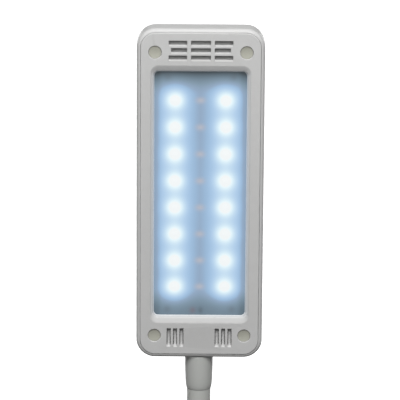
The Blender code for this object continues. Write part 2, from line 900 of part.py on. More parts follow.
# the stop that keeps the pads JAW_GAP apart when the clip is shut
STOP_Z = -(JAW_GAP + PAD_T + GAP) + GAP
bm = bmesh.new()
box(bm, -9.0, 9.0, -12.6, -9.6, STOP_Z, PLATE_Z0 + 1.0)
adds.append(finish(bm, "stop"))
combine(plate, "UNION", adds)
cuts = []
bm = bmesh.new()
turned(
    bm,
    [(0, -24), (PIN_BORE, -24), (PIN_BORE, 24), (0, 24)],
    12,
    along_x(0, PIVOT_Y, PIVOT_Z),
    close=False,
)
cuts.append(finish(bm, "pin_bore"))
for x, y in BASE_SCREWS:
    bm = bmesh.new()
    turned(
        bm,
        [(0, 1.0), (2.9, 1.0), (2.9, 4.1), (1.35, 4.1), (1.35, 7.0), (0, 7.0)],
        12,
        Matrix.Translation((x, y, 0)),
        close=False,
    )
    cuts.append(finish(bm, "well"))
combine(plate, "DIFFERENCE", cuts)
each(
    "base_screw",
    screw_profile(2.5, 1.4, 1.0, 9.0),
    {
        "left" if x < 0 else "right": Matrix.Translation((x, y, PLATE_Z0 + 0.1))
        for x, y in BASE_SCREWS
    },
    STEEL,
    "body_clip_base",
)


# ------------------------------------------------------------------ jaw pads
def pad(name, z0, z1, owner):
    bm = bmesh.new()
    yc, length = (PAD_Y0 + PAD_Y1) / 2, PAD_Y1 - PAD_Y0
    loft(
        bm,
        [
            [Vector((x, yc + v, z)) for x, v in rounded(2 * PAD_X, length, 3.0, 3)]
            for z in (z0, z1)
        ],
    )
    finish(bm, name, PAD_RUBBER, owner)


pad("upper_jaw_pad", 0.0, PAD_T, "body_clip_base")
pad("lower_jaw_pad", -JAW_GAP - PAD_T, -JAW_GAP, "body_lower_jaw")

# ------------------------------------------------------------------ clip housing: inside
PCB_Z0, PCB_Z1 = 8.4, 9.8
bm = bmesh.new()
box(bm, -18.0, 18.0, -30.0, 45.4, PCB_Z0, PCB_Z1)
control_board = finish(bm, "control_board", BOARD)
sunk = PCB_Z1 - 0.3
bm = bmesh.new()
for s in (-1, 1):
    cx = s * BUTTON_X
    box(bm, cx - 3, cx + 3, BUTTON_Y - 3, BUTTON_Y + 3, sunk, 13.6)  # key switch
box(bm, -12.0, -5.0, 28.0, 35.0, sunk, PCB_Z1 + 4.6)  # inductor
box(bm, 4.0, 10.0, 27.0, 32.0, sunk, PCB_Z1 + 1.9)  # driver chip
box(bm, -3.0, 3.5, -22.0, -17.0, sunk, PCB_Z1 + 1.8)  # controller chip
turned(
    bm,
    [(0, sunk), (2.5, sunk), (2.5, PCB_Z1 + 6.2), (0, PCB_Z1 + 6.2)],
    10,
    Matrix.Translation((13.5, 20.0, 0)),
    close=False,
)  # capacitor
soldered = [finish(bm, "soldered")]
bm = bmesh.new()
for s in (-1, 1):
    turned(
        bm,
        [(0, 13.0), (1.7, 13.0), (1.7, 14.9), (0, 14.9)],
        10,
        Matrix.Translation((s * BUTTON_X, BUTTON_Y, 0)),
        close=False,
    )  # the key switches' plungers
soldered.append(finish(bm, "plungers"))
combine(control_board, "UNION", soldered)
bm = bmesh.new()
ys = (BASE_Y1 - 8.6, BASE_Y1 - 0.2)
outer = [[Vector((x, y, z)) for x, z in usb_outline(9.0, 3.3, USB_Z)] for y in ys]
inner = [
    [Vector((x, y, z)) for x, z in usb_outline(8.3, 2.6, USB_Z)]
    for y in (ys[1], ys[0] + 0.8)
]
loft(bm, outer + inner)
port = finish(bm, "usb_c_port", STEEL)
bm = bmesh.new()
box(bm, -3.3, 3.3, ys[0] + 0.4, ys[1] - 1.2, USB_Z - 0.35, USB_Z + 0.35)
combine(port, "UNION", [finish(bm, "tongue")])

# ------------------------------------------------------------------ buttons
for name, x in (("power_button", -BUTTON_X), ("colour_button", BUTTON_X)):
    bm = bmesh.new()
    z = COVER_Z1
    turned(
        bm,
        [
            (0, z + 0.7),
            (BUTTON_R - 1.6, z + 0.8),
            (BUTTON_R - 0.6, z + 0.95),
            (BUTTON_R, z + 0.4),
            (BUTTON_R, z - WALL - GAP),
            (BUTTON_R + 1.2, z - WALL - GAP),
            (BUTTON_R + 1.2, z - WALL - GAP - 1.0),
            (2.0, z - WALL - GAP - 1.0),
            (2.0, 16.0),
            (0, 16.0),
        ],
        20,
        Matrix.Translation((x, BUTTON_Y, 0)),
        close=False,
    )
    finish(bm, name, HOUSING, "body_" + name)

# ------------------------------------------------------------------ lower jaw lever
D = Vector((0, math.cos(math.radians(HANDLE_ANGLE)), -math.sin(math.radians(HANDLE_ANGLE))))
N = Vector((0, -D.z, D.y))
PIVOT = Vector((0, PIVOT_Y, PIVOT_Z))
JAW_Z1 = -(JAW_GAP + PAD_T + GAP)  # the jaw plate's upper face
JAW_Z0 = JAW_Z1 - 3.0
HANDLE_LENGTH = 47.0


def on_handle(s, n):
    p = PIVOT + D * s + N * n
    return (p.y, p.z)


bm = bmesh.new()
length = -8.0 - BASE_Y0
loft(
    bm,
    [
        [
            Vector((x, (BASE_Y0 - 8.0) / 2 + v, z))
            for x, v in rounded(2 * (LEVER_X - i), length - 2 * i, 6.0 - i, 4)
        ]
        for i, z in ((0, JAW_Z1), (0, JAW_Z0 + 0.8), (0.8, JAW_Z0))
    ],
)
lever = finish(bm, "lower_jaw_lever", HOUSING, "body_lower_jaw")
bm = bmesh.new()
handle = []
for i, n in ((0, 1.75), (0, -0.95), (0.8, -1.75)):
    ring = []
    for x, v in rounded(2 * (LEVER_X - i), 39.0 - 2 * i, 6.0 - i, 4):
        y, z = on_handle(HANDLE_LENGTH - 19.5 + v, n)
        ring.append(Vector((x, y, z)))
    handle.append(ring)
loft(bm, handle)
adds = [finish(bm, "handle", None, "body_lower_jaw")]
boss = []
for i in range(7):
    a = math.radians(125 - 18 * i)
    boss.append((PIVOT_Y + 5.4 * math.cos(a), PIVOT_Z + 5.4 * math.sin(a)))
web = (
    [(-51.0, JAW_Z0 + 1.0), (-12.0, JAW_Z0 + 1.0), (-8.5, JAW_Z1 - 0.3)]
    + boss
    + [
        on_handle(8.5, 0.8),
        on_handle(HANDLE_LENGTH - 3, 0.0),
        on_handle(HANDLE_LENGTH - 3, -3.6),
        on_handle(6.0, -7.2),
        (PIVOT_Y - 2.0, PIVOT_Z - 6.4),
        (-12.0, JAW_Z0 - 5.2),
        (-51.0, JAW_Z0 - 1.6),
    ]
)
for s in (-1, 1):
    bm = bmesh.new()
    prism_x(bm, web, s * WEB_X0, s * WEB_X1)
    adds.append(finish(bm, "web", None, "body_lower_jaw"))
combine(lever, "UNION", adds)
bm = bmesh.new()
turned(
    bm,
    [(0, -24), (PIN_BORE, -24), (PIN_BORE, 24), (0, 24)],
    12,
    along_x(0, PIVOT_Y, PIVOT_Z),
    close=False,
)
combine(lever, "DIFFERENCE", [finish(bm, "pin_bore", None, "body_lower_jaw")])

# ------------------------------------------------------------------ pivot and spring
bm = bmesh.new()
turned(
    bm,
    [
        (0, -22.2),
        (2.2, -22.2),
        (2.9, -21.7),
        (2.9, -20.9),
        (PIN_R, -20.9),
        (PIN_R, 22.9),
        (0, 23.2),
    ],
    12,
    along_x(0, PIVOT_Y, PIVOT_Z),
    close=False,
)
finish(bm, "pivot_pin", STEEL)
bm = bmesh.new()
turned(
    bm,
    [(PIN_BORE, 20.9), (3.2, 20.9), (3.2, 21.9), (PIN_BORE, 21.9)],
    12,
    along_x(0, PIVOT_Y, PIVOT_Z),
)
finish(bm, "pivot_retaining_ring", STEEL)

WIRE, COIL_MEAN, TURNS, TURN_STEPS = 0.8, 4.6, 5, 12
SPRING_PITCH = 2 * WIRE + 0.35
COIL_X = SPRING_PITCH * TURNS / 2
LEG = 24.0


def spring_point(angle, x):
    """A point on the coil. Angle 0 is straight above the pin, and grows towards the rear."""
    return PIVOT + Vector((x, COIL_MEAN * math.sin(angle), COIL_MEAN * math.cos(angle)))


# One leg leaves the top of the coil and ends under the housing. The coil winds forward and down,
# and its other leg rises behind the pin and lies on top of the lever's handle.
under_plate = PLATE_Z0 - GAP - WIRE
behind = math.radians(90 + HANDLE_ANGLE)
turn = 2 * math.pi * TURNS - behind
coil = [
    spring_point(-turn * i / (TURNS * TURN_STEPS), -COIL_X + 2 * COIL_X * i / (TURNS * TURN_STEPS))
    for i in range(TURNS * TURN_STEPS + 1)
]
upper = [
    Vector((-COIL_X, PIVOT_Y + LEG, under_plate)),
    Vector((-COIL_X, PIVOT_Y + LEG * 0.5, PIVOT_Z + COIL_MEAN + 2.6)),
]
on_top = 1.75 + GAP + WIRE
lower = []
for s, n in ((COIL_MEAN + 0.4, 1.8), (COIL_MEAN + 2.0, on_top + 0.2), (LEG, on_top + 0.05)):
    y, z = on_handle(s, n)
    lower.append(Vector((COIL_X, y, z)))
bm = bmesh.new()
tube_along(bm, upper + coil + lower, WIRE, 6)
finish(bm, "clip_spring", STEEL)
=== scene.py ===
"""Looks of the clip-on reading lamp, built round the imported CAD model. Metres, +Z up, the lamp faces -Y."""

import json
import math

import bmesh
import bpy
from mathutils import Matrix, Vector

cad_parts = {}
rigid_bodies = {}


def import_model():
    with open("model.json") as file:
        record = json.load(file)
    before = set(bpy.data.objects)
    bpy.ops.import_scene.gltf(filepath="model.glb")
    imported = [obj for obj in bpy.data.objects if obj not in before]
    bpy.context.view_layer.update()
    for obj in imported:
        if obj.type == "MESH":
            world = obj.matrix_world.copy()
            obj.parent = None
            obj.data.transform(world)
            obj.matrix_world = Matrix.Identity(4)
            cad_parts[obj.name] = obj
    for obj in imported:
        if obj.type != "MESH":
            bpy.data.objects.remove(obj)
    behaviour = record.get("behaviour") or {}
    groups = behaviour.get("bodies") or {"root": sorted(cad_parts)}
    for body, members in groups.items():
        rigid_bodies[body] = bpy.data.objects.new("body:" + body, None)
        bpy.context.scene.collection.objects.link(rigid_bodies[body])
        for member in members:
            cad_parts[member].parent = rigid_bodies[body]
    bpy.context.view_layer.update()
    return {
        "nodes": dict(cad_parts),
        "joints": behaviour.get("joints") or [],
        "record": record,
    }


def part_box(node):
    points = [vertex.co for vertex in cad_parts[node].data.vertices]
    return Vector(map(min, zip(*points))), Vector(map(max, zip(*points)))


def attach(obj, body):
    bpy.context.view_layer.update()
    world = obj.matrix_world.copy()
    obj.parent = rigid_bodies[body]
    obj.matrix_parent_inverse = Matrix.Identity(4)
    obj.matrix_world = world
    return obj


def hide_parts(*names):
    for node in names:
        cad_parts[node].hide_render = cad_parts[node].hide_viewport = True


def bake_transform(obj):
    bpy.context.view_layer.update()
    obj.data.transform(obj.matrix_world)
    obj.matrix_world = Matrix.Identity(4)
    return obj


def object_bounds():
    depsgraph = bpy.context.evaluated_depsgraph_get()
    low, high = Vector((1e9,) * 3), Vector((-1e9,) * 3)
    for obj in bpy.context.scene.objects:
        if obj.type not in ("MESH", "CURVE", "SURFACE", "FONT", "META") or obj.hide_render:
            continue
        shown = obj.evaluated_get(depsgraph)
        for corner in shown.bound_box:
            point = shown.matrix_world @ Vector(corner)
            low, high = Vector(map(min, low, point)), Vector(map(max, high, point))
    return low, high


for old in list(bpy.data.objects):
    bpy.data.objects.remove(old, do_unlink=True)
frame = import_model()
MM = 0.001
NODES = frame["nodes"]
LAST = max(int(n.rsplit("_", 1)[1]) for n in NODES if n.startswith("neck_sleeve_"))


def mm(v):
    return v / MM


# ---------------------------------------------------------------- places, read from the frame (mm)
shell_lo, shell_hi = (mm(v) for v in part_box("head_rear_shell"))
bezel_lo, bezel_hi = (mm(v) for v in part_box("head_front_bezel"))
lens_lo, lens_hi = (mm(v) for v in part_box("diffuser_lens"))
board_lo, board_hi = (mm(v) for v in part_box("led_board"))
HEAD_W, HEAD_H = shell_hi.x - shell_lo.x, shell_hi.z - shell_lo.z
HEAD_Y0 = bezel_lo.y
HEAD_T = shell_hi.y - HEAD_Y0
HEAD_ZC = (shell_lo.z + shell_hi.z) / 2
HEAD_Z0 = shell_lo.z
SHELL_D0 = shell_lo.y - HEAD_Y0
cover_lo, cover_hi = (mm(v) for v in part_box("base_top_cover"))
plate_lo, plate_hi = (mm(v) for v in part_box("base_bottom_plate"))
lever_lo, lever_hi = (mm(v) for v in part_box("lower_jaw_lever"))
coil_lo, coil_hi = (mm(v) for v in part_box("neck_coil_1"))
NECK_Y = (coil_lo.y + coil_hi.y) / 2
JOINTS = {j["name"]: j for j in frame["joints"]}
HINGES = sorted(
    (j for j in frame["joints"] if j["name"].startswith("neck_bend")),
    key=lambda j: j["pos_m"][2],
)
PIVOT = Vector(JOINTS["jaw_hinge"]["pos_m"]) / MM

# ---------------------------------------------------------------- material helpers
REC = {m["slot"]: m["base_color"][:3] for m in frame["record"]["materials"]}


class Tree:
    """A small helper for writing a material's nodes."""

    def __init__(self, name):
        self.mat = bpy.data.materials.new(name)
        self.mat.use_nodes = True
        self.nt = self.mat.node_tree
        self.bsdf = self.nt.nodes["Principled BSDF"]
        self.out = self.nt.nodes["Material Output"]
        self.coord = self.nt.nodes.new("ShaderNodeTexCoord")

    def node(self, kind, **values):
        n = self.nt.nodes.new(kind)
        for k, v in values.items():
            if k in ("operation", "blend_type", "data_type", "noise_dimensions", "feature", "interpolation_type", "distance", "clamp", "mode", "wave_type", "bands_direction", "use_clamp"):
                setattr(n, k, v)
            else:
                n.inputs[k.replace("_", " ")].default_value = v
        return n

    def link(self, a, b):
        self.nt.links.new(a, b)

    def noise(self, scale, detail=3.0, rough=0.5, stretch=None):
        n = self.node("ShaderNodeTexNoise", Scale=scale, Detail=detail, Roughness=rough)
        if stretch:
            m = self.node("ShaderNodeMapping", Scale=stretch)
            self.link(self.coord.outputs["Object"], m.inputs["Vector"])
            self.link(m.outputs["Vector"], n.inputs["Vector"])
        else:
            self.link(self.coord.outputs["Object"], n.inputs["Vector"])
        return n.outputs["Fac"]

    def ramp(self, fac, stops):
        n = self.nt.nodes.new("ShaderNodeValToRGB")
        while len(n.color_ramp.elements) < len(stops):
            n.color_ramp.elements.new(0.5)
        for e, (p, c) in zip(n.color_ramp.elements, stops):
            e.position = p
            e.color = (c, c, c, 1) if isinstance(c, (int, float)) else (*c, 1)
        self.link(fac, n.inputs["Fac"])
        return n.outputs["Color"]

    def maths(self, op, a, b=None, c=None, clamp=False):
        n = self.nt.nodes.new("ShaderNodeMath")
        n.operation = op
        n.use_clamp = clamp
        for i, v in enumerate((a, b, c)):
            if v is None:
                continue
            if isinstance(v, (int, float)):
                n.inputs[i].default_value = v
            else:
                self.link(v, n.inputs[i])
        return n.outputs[0]

    def mix(self, fac, a, b, kind="MIX"):
        n = self.nt.nodes.new("ShaderNodeMix")
        n.data_type = "RGBA"
        n.blend_type = kind
        for socket, v in ((n.inputs[0], fac), (n.inputs[6], a), (n.inputs[7], b)):
            if isinstance(v, (int, float)):
                socket.default_value = v
            elif isinstance(v, (tuple, list)):
                socket.default_value = (*v, 1) if len(v) == 3 else v
            else:
                self.link(v, socket)
        return n.outputs[2]

    def bump(self, height, strength, distance, after=None):
        n = self.node("ShaderNodeBump", Strength=strength, Distance=distance)
        self.link(height, n.inputs["Height"])
        if after:
            self.link(after, n.inputs["Normal"])
        return n.outputs["Normal"]


def moulded(name, colour, rough=0.42, grain=0.25, tint=0.03, specular=0.5, grain_mm=0.35, dust=0.5):
    """Moulded plastic: a fine spark-eroded grain, slow colour drift, faint random dust specks, and painted shade in the
    hollows with a painted highlight on outward edges, both read from the surface's pointiness.
    """
    t = Tree(name)
    slow = t.noise(28.0, 2.0)
    fine = t.noise(1.0 / (grain_mm * MM), 2.0, 0.6)
    mid = t.noise(260.0, 4.0, 0.55)
    lo = tuple(max(c * (1 - tint), 0) for c in colour)
    hi = tuple(min(c * (1 + tint), 1) for c in colour)
    body = t.mix(slow, lo, hi)
    speck = t.ramp(mid, [(0.35, 1.0 - 0.05 * dust), (0.65, 1.0)])
    body = t.mix(1.0, body, speck, "MULTIPLY")
    # painted shade and highlight: darker in hollows, lighter on outward edges, from pointiness
    geo = t.nt.nodes.new("ShaderNodeNewGeometry")
    hollow_shade_and_edge_highlight = t.ramp(geo.outputs["Pointiness"], [(0.44, 0.93), (0.5, 1.0), (0.56, 1.05)])
    body = t.mix(1.0, body, hollow_shade_and_edge_highlight, "MULTIPLY")
    t.link(body, t.bsdf.inputs["Base Color"])
    r = t.maths("MULTIPLY_ADD", mid, 0.14, rough - 0.07)
    r = t.maths("MULTIPLY_ADD", fine, 0.06, t.maths("SUBTRACT", r, 0.03))
    t.link(r, t.bsdf.inputs["Roughness"])
    n = t.bump(fine, grain, 0.00004)
    n = t.bump(slow, 0.08, 0.0006, n)
    t.link(n, t.bsdf.inputs["Normal"])
    t.bsdf.inputs["Specular IOR Level"].default_value = specular
    return t.mat


def rubbery(name, colour, rough=0.7, grain=0.4, sheen=0.0, scale=2200.0):
    t = Tree(name)
    slow = t.noise(40.0, 3.0)
    fine = t.noise(scale, 3.0, 0.6)
    body = t.mix(slow, tuple(c * 0.94 for c in colour), tuple(min(c * 1.06, 1) for c in colour))
    lint = t.ramp(t.noise(700.0, 6.0, 0.7), [(0.62, 0.0), (0.75, 1.0)])
    body = t.mix(t.maths("MULTIPLY", lint, 0.10), body, tuple(min(c * 1.5 + 0.05, 1) for c in colour))
    t.link(body, t.bsdf.inputs["Base Color"])
    t.link(t.maths("MULTIPLY_ADD", fine, 0.16, rough - 0.08), t.bsdf.inputs["Roughness"])
    t.link(t.bump(fine, grain, 0.00004), t.bsdf.inputs["Normal"])
    t.bsdf.inputs["Specular IOR Level"].default_value = 0.4
    if sheen:
        t.bsdf.inputs["Sheen Weight"].default_value = sheen
        t.bsdf.inputs["Sheen Roughness"].default_value = 0.45
    return t.mat


def metal(name, colour, rough=0.28, stretch=(1, 1, 1), scale=900.0):
    t = Tree(name)
    brush = t.noise(scale, 4.0, 0.6, stretch)
    slow = t.noise(120.0, 3.0)
    t.link(
        t.mix(slow, tuple(c * 0.86 for c in colour), tuple(min(c * 1.1, 1) for c in colour)),
        t.bsdf.inputs["Base Color"],
    )
    t.link(t.maths("MULTIPLY_ADD", brush, 0.2, rough - 0.1), t.bsdf.inputs["Roughness"])
    t.link(t.bump(brush, 0.15, 0.00005), t.bsdf.inputs["Normal"])
    t.bsdf.inputs["Metallic"].default_value = 1.0
    return t.mat


def emissive(name, colour, strength, core=None):
    """A lit LED's face, glowing evenly with a faint noise drift."""
    t = Tree(name)
    slow = t.noise(900.0, 2.0)
    t.link(t.mix(slow, colour, tuple(min(c * 1.04, 1) for c in colour)), t.bsdf.inputs["Base Color"])
    t.link(t.mix(slow, colour, tuple(min(c * 1.03, 1) for c in colour)), t.bsdf.inputs["Emission Color"])
    t.bsdf.inputs["Emission Strength"].default_value = strength
    t.bsdf.inputs["Roughness"].default_value = 0.3
    return t.mat


HOUSING = moulded("abs_warm_white", (0.56, 0.56, 0.555), 0.40, 0.22, 0.02)
# the bezel's copy of the housing plastic, which carries painted glow round the window and painted shade in the vents
BEZEL_WITH_PAINTED_LIGHT = moulded("abs_bezel_painted_glow_and_shade", (0.56, 0.56, 0.555), 0.44, 0.30, 0.02)


def paint_window_glow_and_vent_shade(mat, half_x, half_v):
    """Painted light and shade on the bezel: an emission on the bevel round the window stands in for the lit window's
    light; it grows with depth, and stops at the front face. The vent floors are painted dark for the shade inside them.
    """
    nt = mat.node_tree
    bsdf = nt.nodes["Principled BSDF"]
    co = nt.nodes.new("ShaderNodeTexCoord")
    sep = nt.nodes.new("ShaderNodeSeparateXYZ")
    nt.links.new(co.outputs["Object"], sep.inputs[0])

    def smooth(socket, a, b, centre=0.0):
        off = nt.nodes.new("ShaderNodeMath")
        off.operation = "SUBTRACT"
        off.inputs[1].default_value = centre
        nt.links.new(socket, off.inputs[0])
        size = nt.nodes.new("ShaderNodeMath")
        size.operation = "ABSOLUTE"
        nt.links.new(off.outputs[0], size.inputs[0])
        m = nt.nodes.new("ShaderNodeMapRange")
        m.interpolation_type = "SMOOTHSTEP"
        m.inputs["From Min"].default_value = a
        m.inputs["From Max"].default_value = b
        nt.links.new(size.outputs[0], m.inputs["Value"])
        return m.outputs["Result"]

    def joined(operation, one, other):
        m = nt.nodes.new("ShaderNodeMath")
        m.operation = operation
        nt.links.new(one, m.inputs[0])
        if isinstance(other, float):
            m.inputs[1].default_value = other
        else:
            nt.links.new(other, m.inputs[1])
        return m.outputs[0]

    # painted light: the two long sides run along the lit columns, and the deep wall is next to the lit sheet, so both
    # get an emission in place of the window's light
    wide = smooth(sep.outputs["Y"], 0.0001, 0.0009, HEAD_Y0 * MM)
    deep = smooth(sep.outputs["Y"], 0.0016, 0.0032, HEAD_Y0 * MM)
    in_x = smooth(sep.outputs["X"], (half_x + 0.3) * MM, (half_x - 0.2) * MM)
    in_v = smooth(sep.outputs["Z"], (half_v + 0.3) * MM, (half_v - 0.2) * MM, HEAD_ZC * MM)
    sides = smooth(sep.outputs["Z"], (half_v - 2.2) * MM, (half_v - 5.5) * MM, HEAD_ZC * MM)
    out = joined(
        "ADD",
        joined("MULTIPLY", joined("MULTIPLY", wide, sides), SPILL_SIDES),
        joined("MULTIPLY", deep, SPILL),
    )
    out = joined("MULTIPLY", joined("MULTIPLY", out, in_x), in_v)
    # painted shade: the vent floors, past the window's ends and deeper than about 1.1 mm, are mixed towards near black
    ends = smooth(sep.outputs["Z"], (half_v + 1.2) * MM, (half_v + 1.6) * MM, HEAD_ZC * MM)
    vent_floor_shade_mask = joined("MULTIPLY", smooth(sep.outputs["Y"], 0.0011, 0.0018, HEAD_Y0 * MM), ends)
    link = bsdf.inputs["Base Color"].links[0]
    dark = nt.nodes.new("ShaderNodeMix")
    dark.data_type = "RGBA"
    nt.links.new(joined("MULTIPLY", vent_floor_shade_mask, VENT_SHADE), dark.inputs[0])
    nt.links.new(link.from_socket, dark.inputs[6])
    dark.inputs[7].default_value = (0.03, 0.03, 0.03, 1)
    nt.links.new(dark.outputs[2], bsdf.inputs["Base Color"])
    bsdf.inputs["Emission Color"].default_value = (0.88, 0.93, 1.0, 1)
    nt.links.new(out, bsdf.inputs["Emission Strength"])


# how strong the painted glow on the bezel is, and how dark the vent floors are painted
SPILL_SIDES = 0.10
VENT_SHADE = 0.45
SPILL = 0.16
paint_window_glow_and_vent_shade(BEZEL_WITH_PAINTED_LIGHT, 23.5, 62.4)
SLEEVE = rubbery("sleeve_silicone", (0.52, 0.53, 0.505), 0.5, 0.25, 0.15)
COLLAR = rubbery("collar_elastomer", (0.51, 0.52, 0.50), 0.48, 0.3)
PLUG = rubbery("plug_elastomer", (0.42, 0.42, 0.36), 0.6, 0.5)
PADS = rubbery("pad_rubber", (0.045, 0.045, 0.047), 0.72, 0.7, 0.1, 1500.0)
BUTTON = moulded("button_plastic", (0.50, 0.50, 0.495), 0.34, 0.12, 0.02)
BLACK = moulded("black_plastic", (0.02, 0.02, 0.022), 0.4, 0.3, 0.1)
STEEL = metal("zinc_steel", (0.62, 0.62, 0.60), 0.3)
SPRING = metal("spring_steel", (0.50, 0.50, 0.50), 0.24, (1, 1, 1), 500.0)
COIL = metal("spiral_steel", (0.45, 0.45, 0.45), 0.35, (1, 1, 6), 700.0)
CABLE = rubbery("cable_jacket", (0.03, 0.03, 0.032), 0.5, 0.2)
RED_WIRE = rubbery("red_wire", (0.45, 0.02, 0.02), 0.4, 0.1)
BLACK_WIRE = rubbery("black_wire", (0.02, 0.02, 0.022), 0.4, 0.1)


# ---------------------------------------------------------------- mesh helpers (all in mm)
def to_object(bm, name, mat, sharp=32.0, weighted=False):
    bmesh.ops.remove_doubles(bm, verts=bm.verts, dist=1e-4)
    bmesh.ops.recalc_face_normals(bm, faces=bm.faces)
    for v in bm.verts:
        v.co = v.co * MM
    mesh = bpy.data.meshes.new(name)
    bm.to_mesh(mesh)
    bm.free()
    mesh.shade_smooth()
    mesh.set_sharp_from_angle(angle=math.radians(sharp))
    obj = bpy.data.objects.new(name, mesh)
    bpy.context.scene.collection.objects.link(obj)
    if mat:
        mesh.materials.append(mat)
    if weighted:
        weight_normals(obj)
    return obj


def weight_normals(obj):
    m = obj.modifiers.new("weighted", "WEIGHTED_NORMAL")
    m.keep_sharp = True
    m.weight = 100


def combine(target, operation, tools, sharp=32.0):
    for tool in tools:
        m = target.modifiers.new("bool", "BOOLEAN")
        m.operation, m.solver, m.object = operation, "EXACT", tool
        bpy.context.view_layer.update()
        made = bpy.data.meshes.new_from_object(
            target.evaluated_get(bpy.context.evaluated_depsgraph_get())
        )
        target.modifiers.clear()
        mats = list(target.data.materials)
        target.data = made
        target.data.materials.clear()
        for mat in mats[:1]:
            target.data.materials.append(mat)
        for p in target.data.polygons:
            p.material_index = 0
        bpy.data.objects.remove(tool, do_unlink=True)
    target.data.shade_smooth()
    target.data.set_sharp_from_angle(angle=math.radians(sharp))
    return target


def rounded(w, h, r, n=12, extra=()):
    half_w, half_h = w / 2, h / 2
    r = max(r, 1e-3)
    right = []
    for i in range(n + 1):
        a = math.pi / 2 * (1 - i / n)
        right.append((half_w - r + r * math.cos(a), half_h - r + r * math.sin(a)))
    for e in sorted(extra, reverse=True):
        right.append((half_w, e))
    for i in range(n + 1):
        a = -math.pi / 2 * i / n
        right.append((half_w - r + r * math.cos(a), -half_h + r + r * math.sin(a)))
    return right + [(-x, y) for x, y in reversed(right)]


def loft(bm, rings, caps=(True, True), closed=False, ngon=False):
    n = len(rings[0])
    vs = [[bm.verts.new(p) for p in ring] for ring in rings]
    pairs = list(zip(vs, vs[1:]))
    if closed:
        pairs.append((vs[-1], vs[0]))
    for a, b in pairs:
        for i in range(n):
            j = (i + 1) % n
            bm.faces.new((a[i], a[j], b[j], b[i]))
    for ring, wanted in ((vs[0], caps[0]), (vs[-1], caps[1])):
        if closed or not wanted:
            continue
        if ngon:
            bm.faces.new(ring)
            continue
        for i in range(n // 2 - 1):
            bm.faces.new((ring[i], ring[i + 1], ring[n - 2 - i], ring[n - 1 - i]))


def turned(bm, profile, n, place=Matrix.Identity(4), close=False):
    rings = []
    for r, z in profile:
        if r < 1e-6:
            rings.append([bm.verts.new(place @ Vector((0, 0, z)))])
        else:
            rings.append(
                [
                    bm.verts.new(
                        place
                        @ Vector((r * math.cos(2 * math.pi * i / n), r * math.sin(2 * math.pi * i / n), z))
                    )
                    for i in range(n)
                ]
            )
    pairs = list(zip(rings, rings[1:]))
    if close:
        pairs.append((rings[-1], rings[0]))
    for a, b in pairs:
        if len(a) == 1 and len(b) == 1:
            continue
        for i in range(n):
            j = (i + 1) % n
            if len(a) == 1:
                bm.faces.new((a[0], b[i], b[j]))
            elif len(b) == 1:
                bm.faces.new((a[i], a[j], b[0]))
            else:
                bm.faces.new((a[i], a[j], b[j], b[i]))


def arc(cx, cy, r, a0, a1, n):
    """Points on an arc, in degrees."""
    return [
        (
            cx + r * math.cos(math.radians(a0 + (a1 - a0) * i / n)),
            cy + r * math.sin(math.radians(a0 + (a1 - a0) * i / n)),
        )
        for i in range(n + 1)
    ]


def box(bm, x0, x1, y0, y1, z0, z1):
    v = [bm.verts.new((x, y, z)) for z in (z0, z1) for y in (y0, y1) for x in (x0, x1)]
    for f in ((0, 2, 3, 1), (4, 5, 7, 6), (0, 1, 5, 4), (2, 6, 7, 3), (0, 4, 6, 2), (1, 3, 7, 5)):
        bm.faces.new([v[i] for i in f])


def prism(bm, outline, axis, a, b):
    """An outline drawn out between a and b. axis "x" takes (y, z) points, "y" takes (x, z), "z" takes (x, y)."""

    def at(p, t):
        return {"x": (t, p[0], p[1]), "y": (p[0], t, p[1]), "z": (p[0], p[1], t)}[axis]

    lo = [bm.verts.new(at(p, a)) for p in outline]
    hi = [bm.verts.new(at(p, b)) for p in outline]
    n = len(outline)
    for i in range(n):
        j = (i + 1) % n
        bm.faces.new((lo[i], lo[j], hi[j], hi[i]))
    bm.faces.new(lo)
    bm.faces.new(list(reversed(hi)))


def along_y(x, y, z):
    return Matrix.Translation((x, y, z)) @ Matrix.Rotation(math.radians(-90), 4, "X")


def along_x(x, y, z):
    return Matrix.Translation((x, y, z)) @ Matrix.Rotation(math.radians(90), 4, "Y")


def head_ring(w, h, r, depth, n=14):
    return [Vector((x, HEAD_Y0 + depth, HEAD_ZC + v)) for x, v in rounded(w, h, r, n)]


def tube(bm, points, radius, n=12, round_ends=False):
    rings, normal = [], None
    for i, p in enumerate(points):
        a, b = points[max(i - 1, 0)], points[min(i + 1, len(points) - 1)]
        t = (b - a).normalized()
        if normal is None:
            normal = t.orthogonal().normalized()
        normal = (normal - t * normal.dot(t)).normalized()
        side = t.cross(normal)
        rings.append((p, normal.copy(), side, radius, t))
    full = list(rings)
    if round_ends:
        for end, sign in ((0, -1), (-1, 1)):
            p, nn, ss, r, t = rings[end]
            caps = [
                (p + t * sign * r * 0.5 * math.sin(math.radians(a)), nn, ss, r * math.cos(math.radians(a)), t)
                for a in (30, 55, 75)
            ]
            full = list(reversed(caps)) + full if end == 0 else full + caps
    vs = [
        [
            bm.verts.new(p + nn * r * math.cos(2 * math.pi * k / n) + ss * r * math.sin(2 * math.pi * k / n))
            for k in range(n)
        ]
        for p, nn, ss, r, t in full
    ]
    for a, b in zip(vs, vs[1:]):
        for i in range(n):
            j = (i + 1) % n
            bm.faces.new((a[i], a[j], b[j], b[i]))
    bm.faces.new(vs[0])
    bm.faces.new(list(reversed(vs[-1])))


def smooth_path(points, steps):
    pts = [Vector(p) for p in points]
    pts = [pts[0] * 2 - pts[1]] + pts + [pts[-1] * 2 - pts[-2]]
    out = []
    for i in range(1, len(pts) - 2):
        a, b, c, d = pts[i - 1 : i + 3]
        for s in range(steps):
            t = s / steps
            out.append(
                0.5
                * (2 * b + (c - a) * t + (2 * a - 5 * b + 4 * c - d) * t * t + (3 * b - a - 3 * c + d) * t**3)
            )
    out.append(pts[-2])
    return out


def piece(obj, body, replaces=()):
    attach(obj, body)
    if replaces:
        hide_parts(*replaces)
    return obj


# ---------------------------------------------------------------- light head: rear shell
LIP, LIP_DEPTH, CORNER = 1.75, 2.6, 9.0
BACK = 3.0


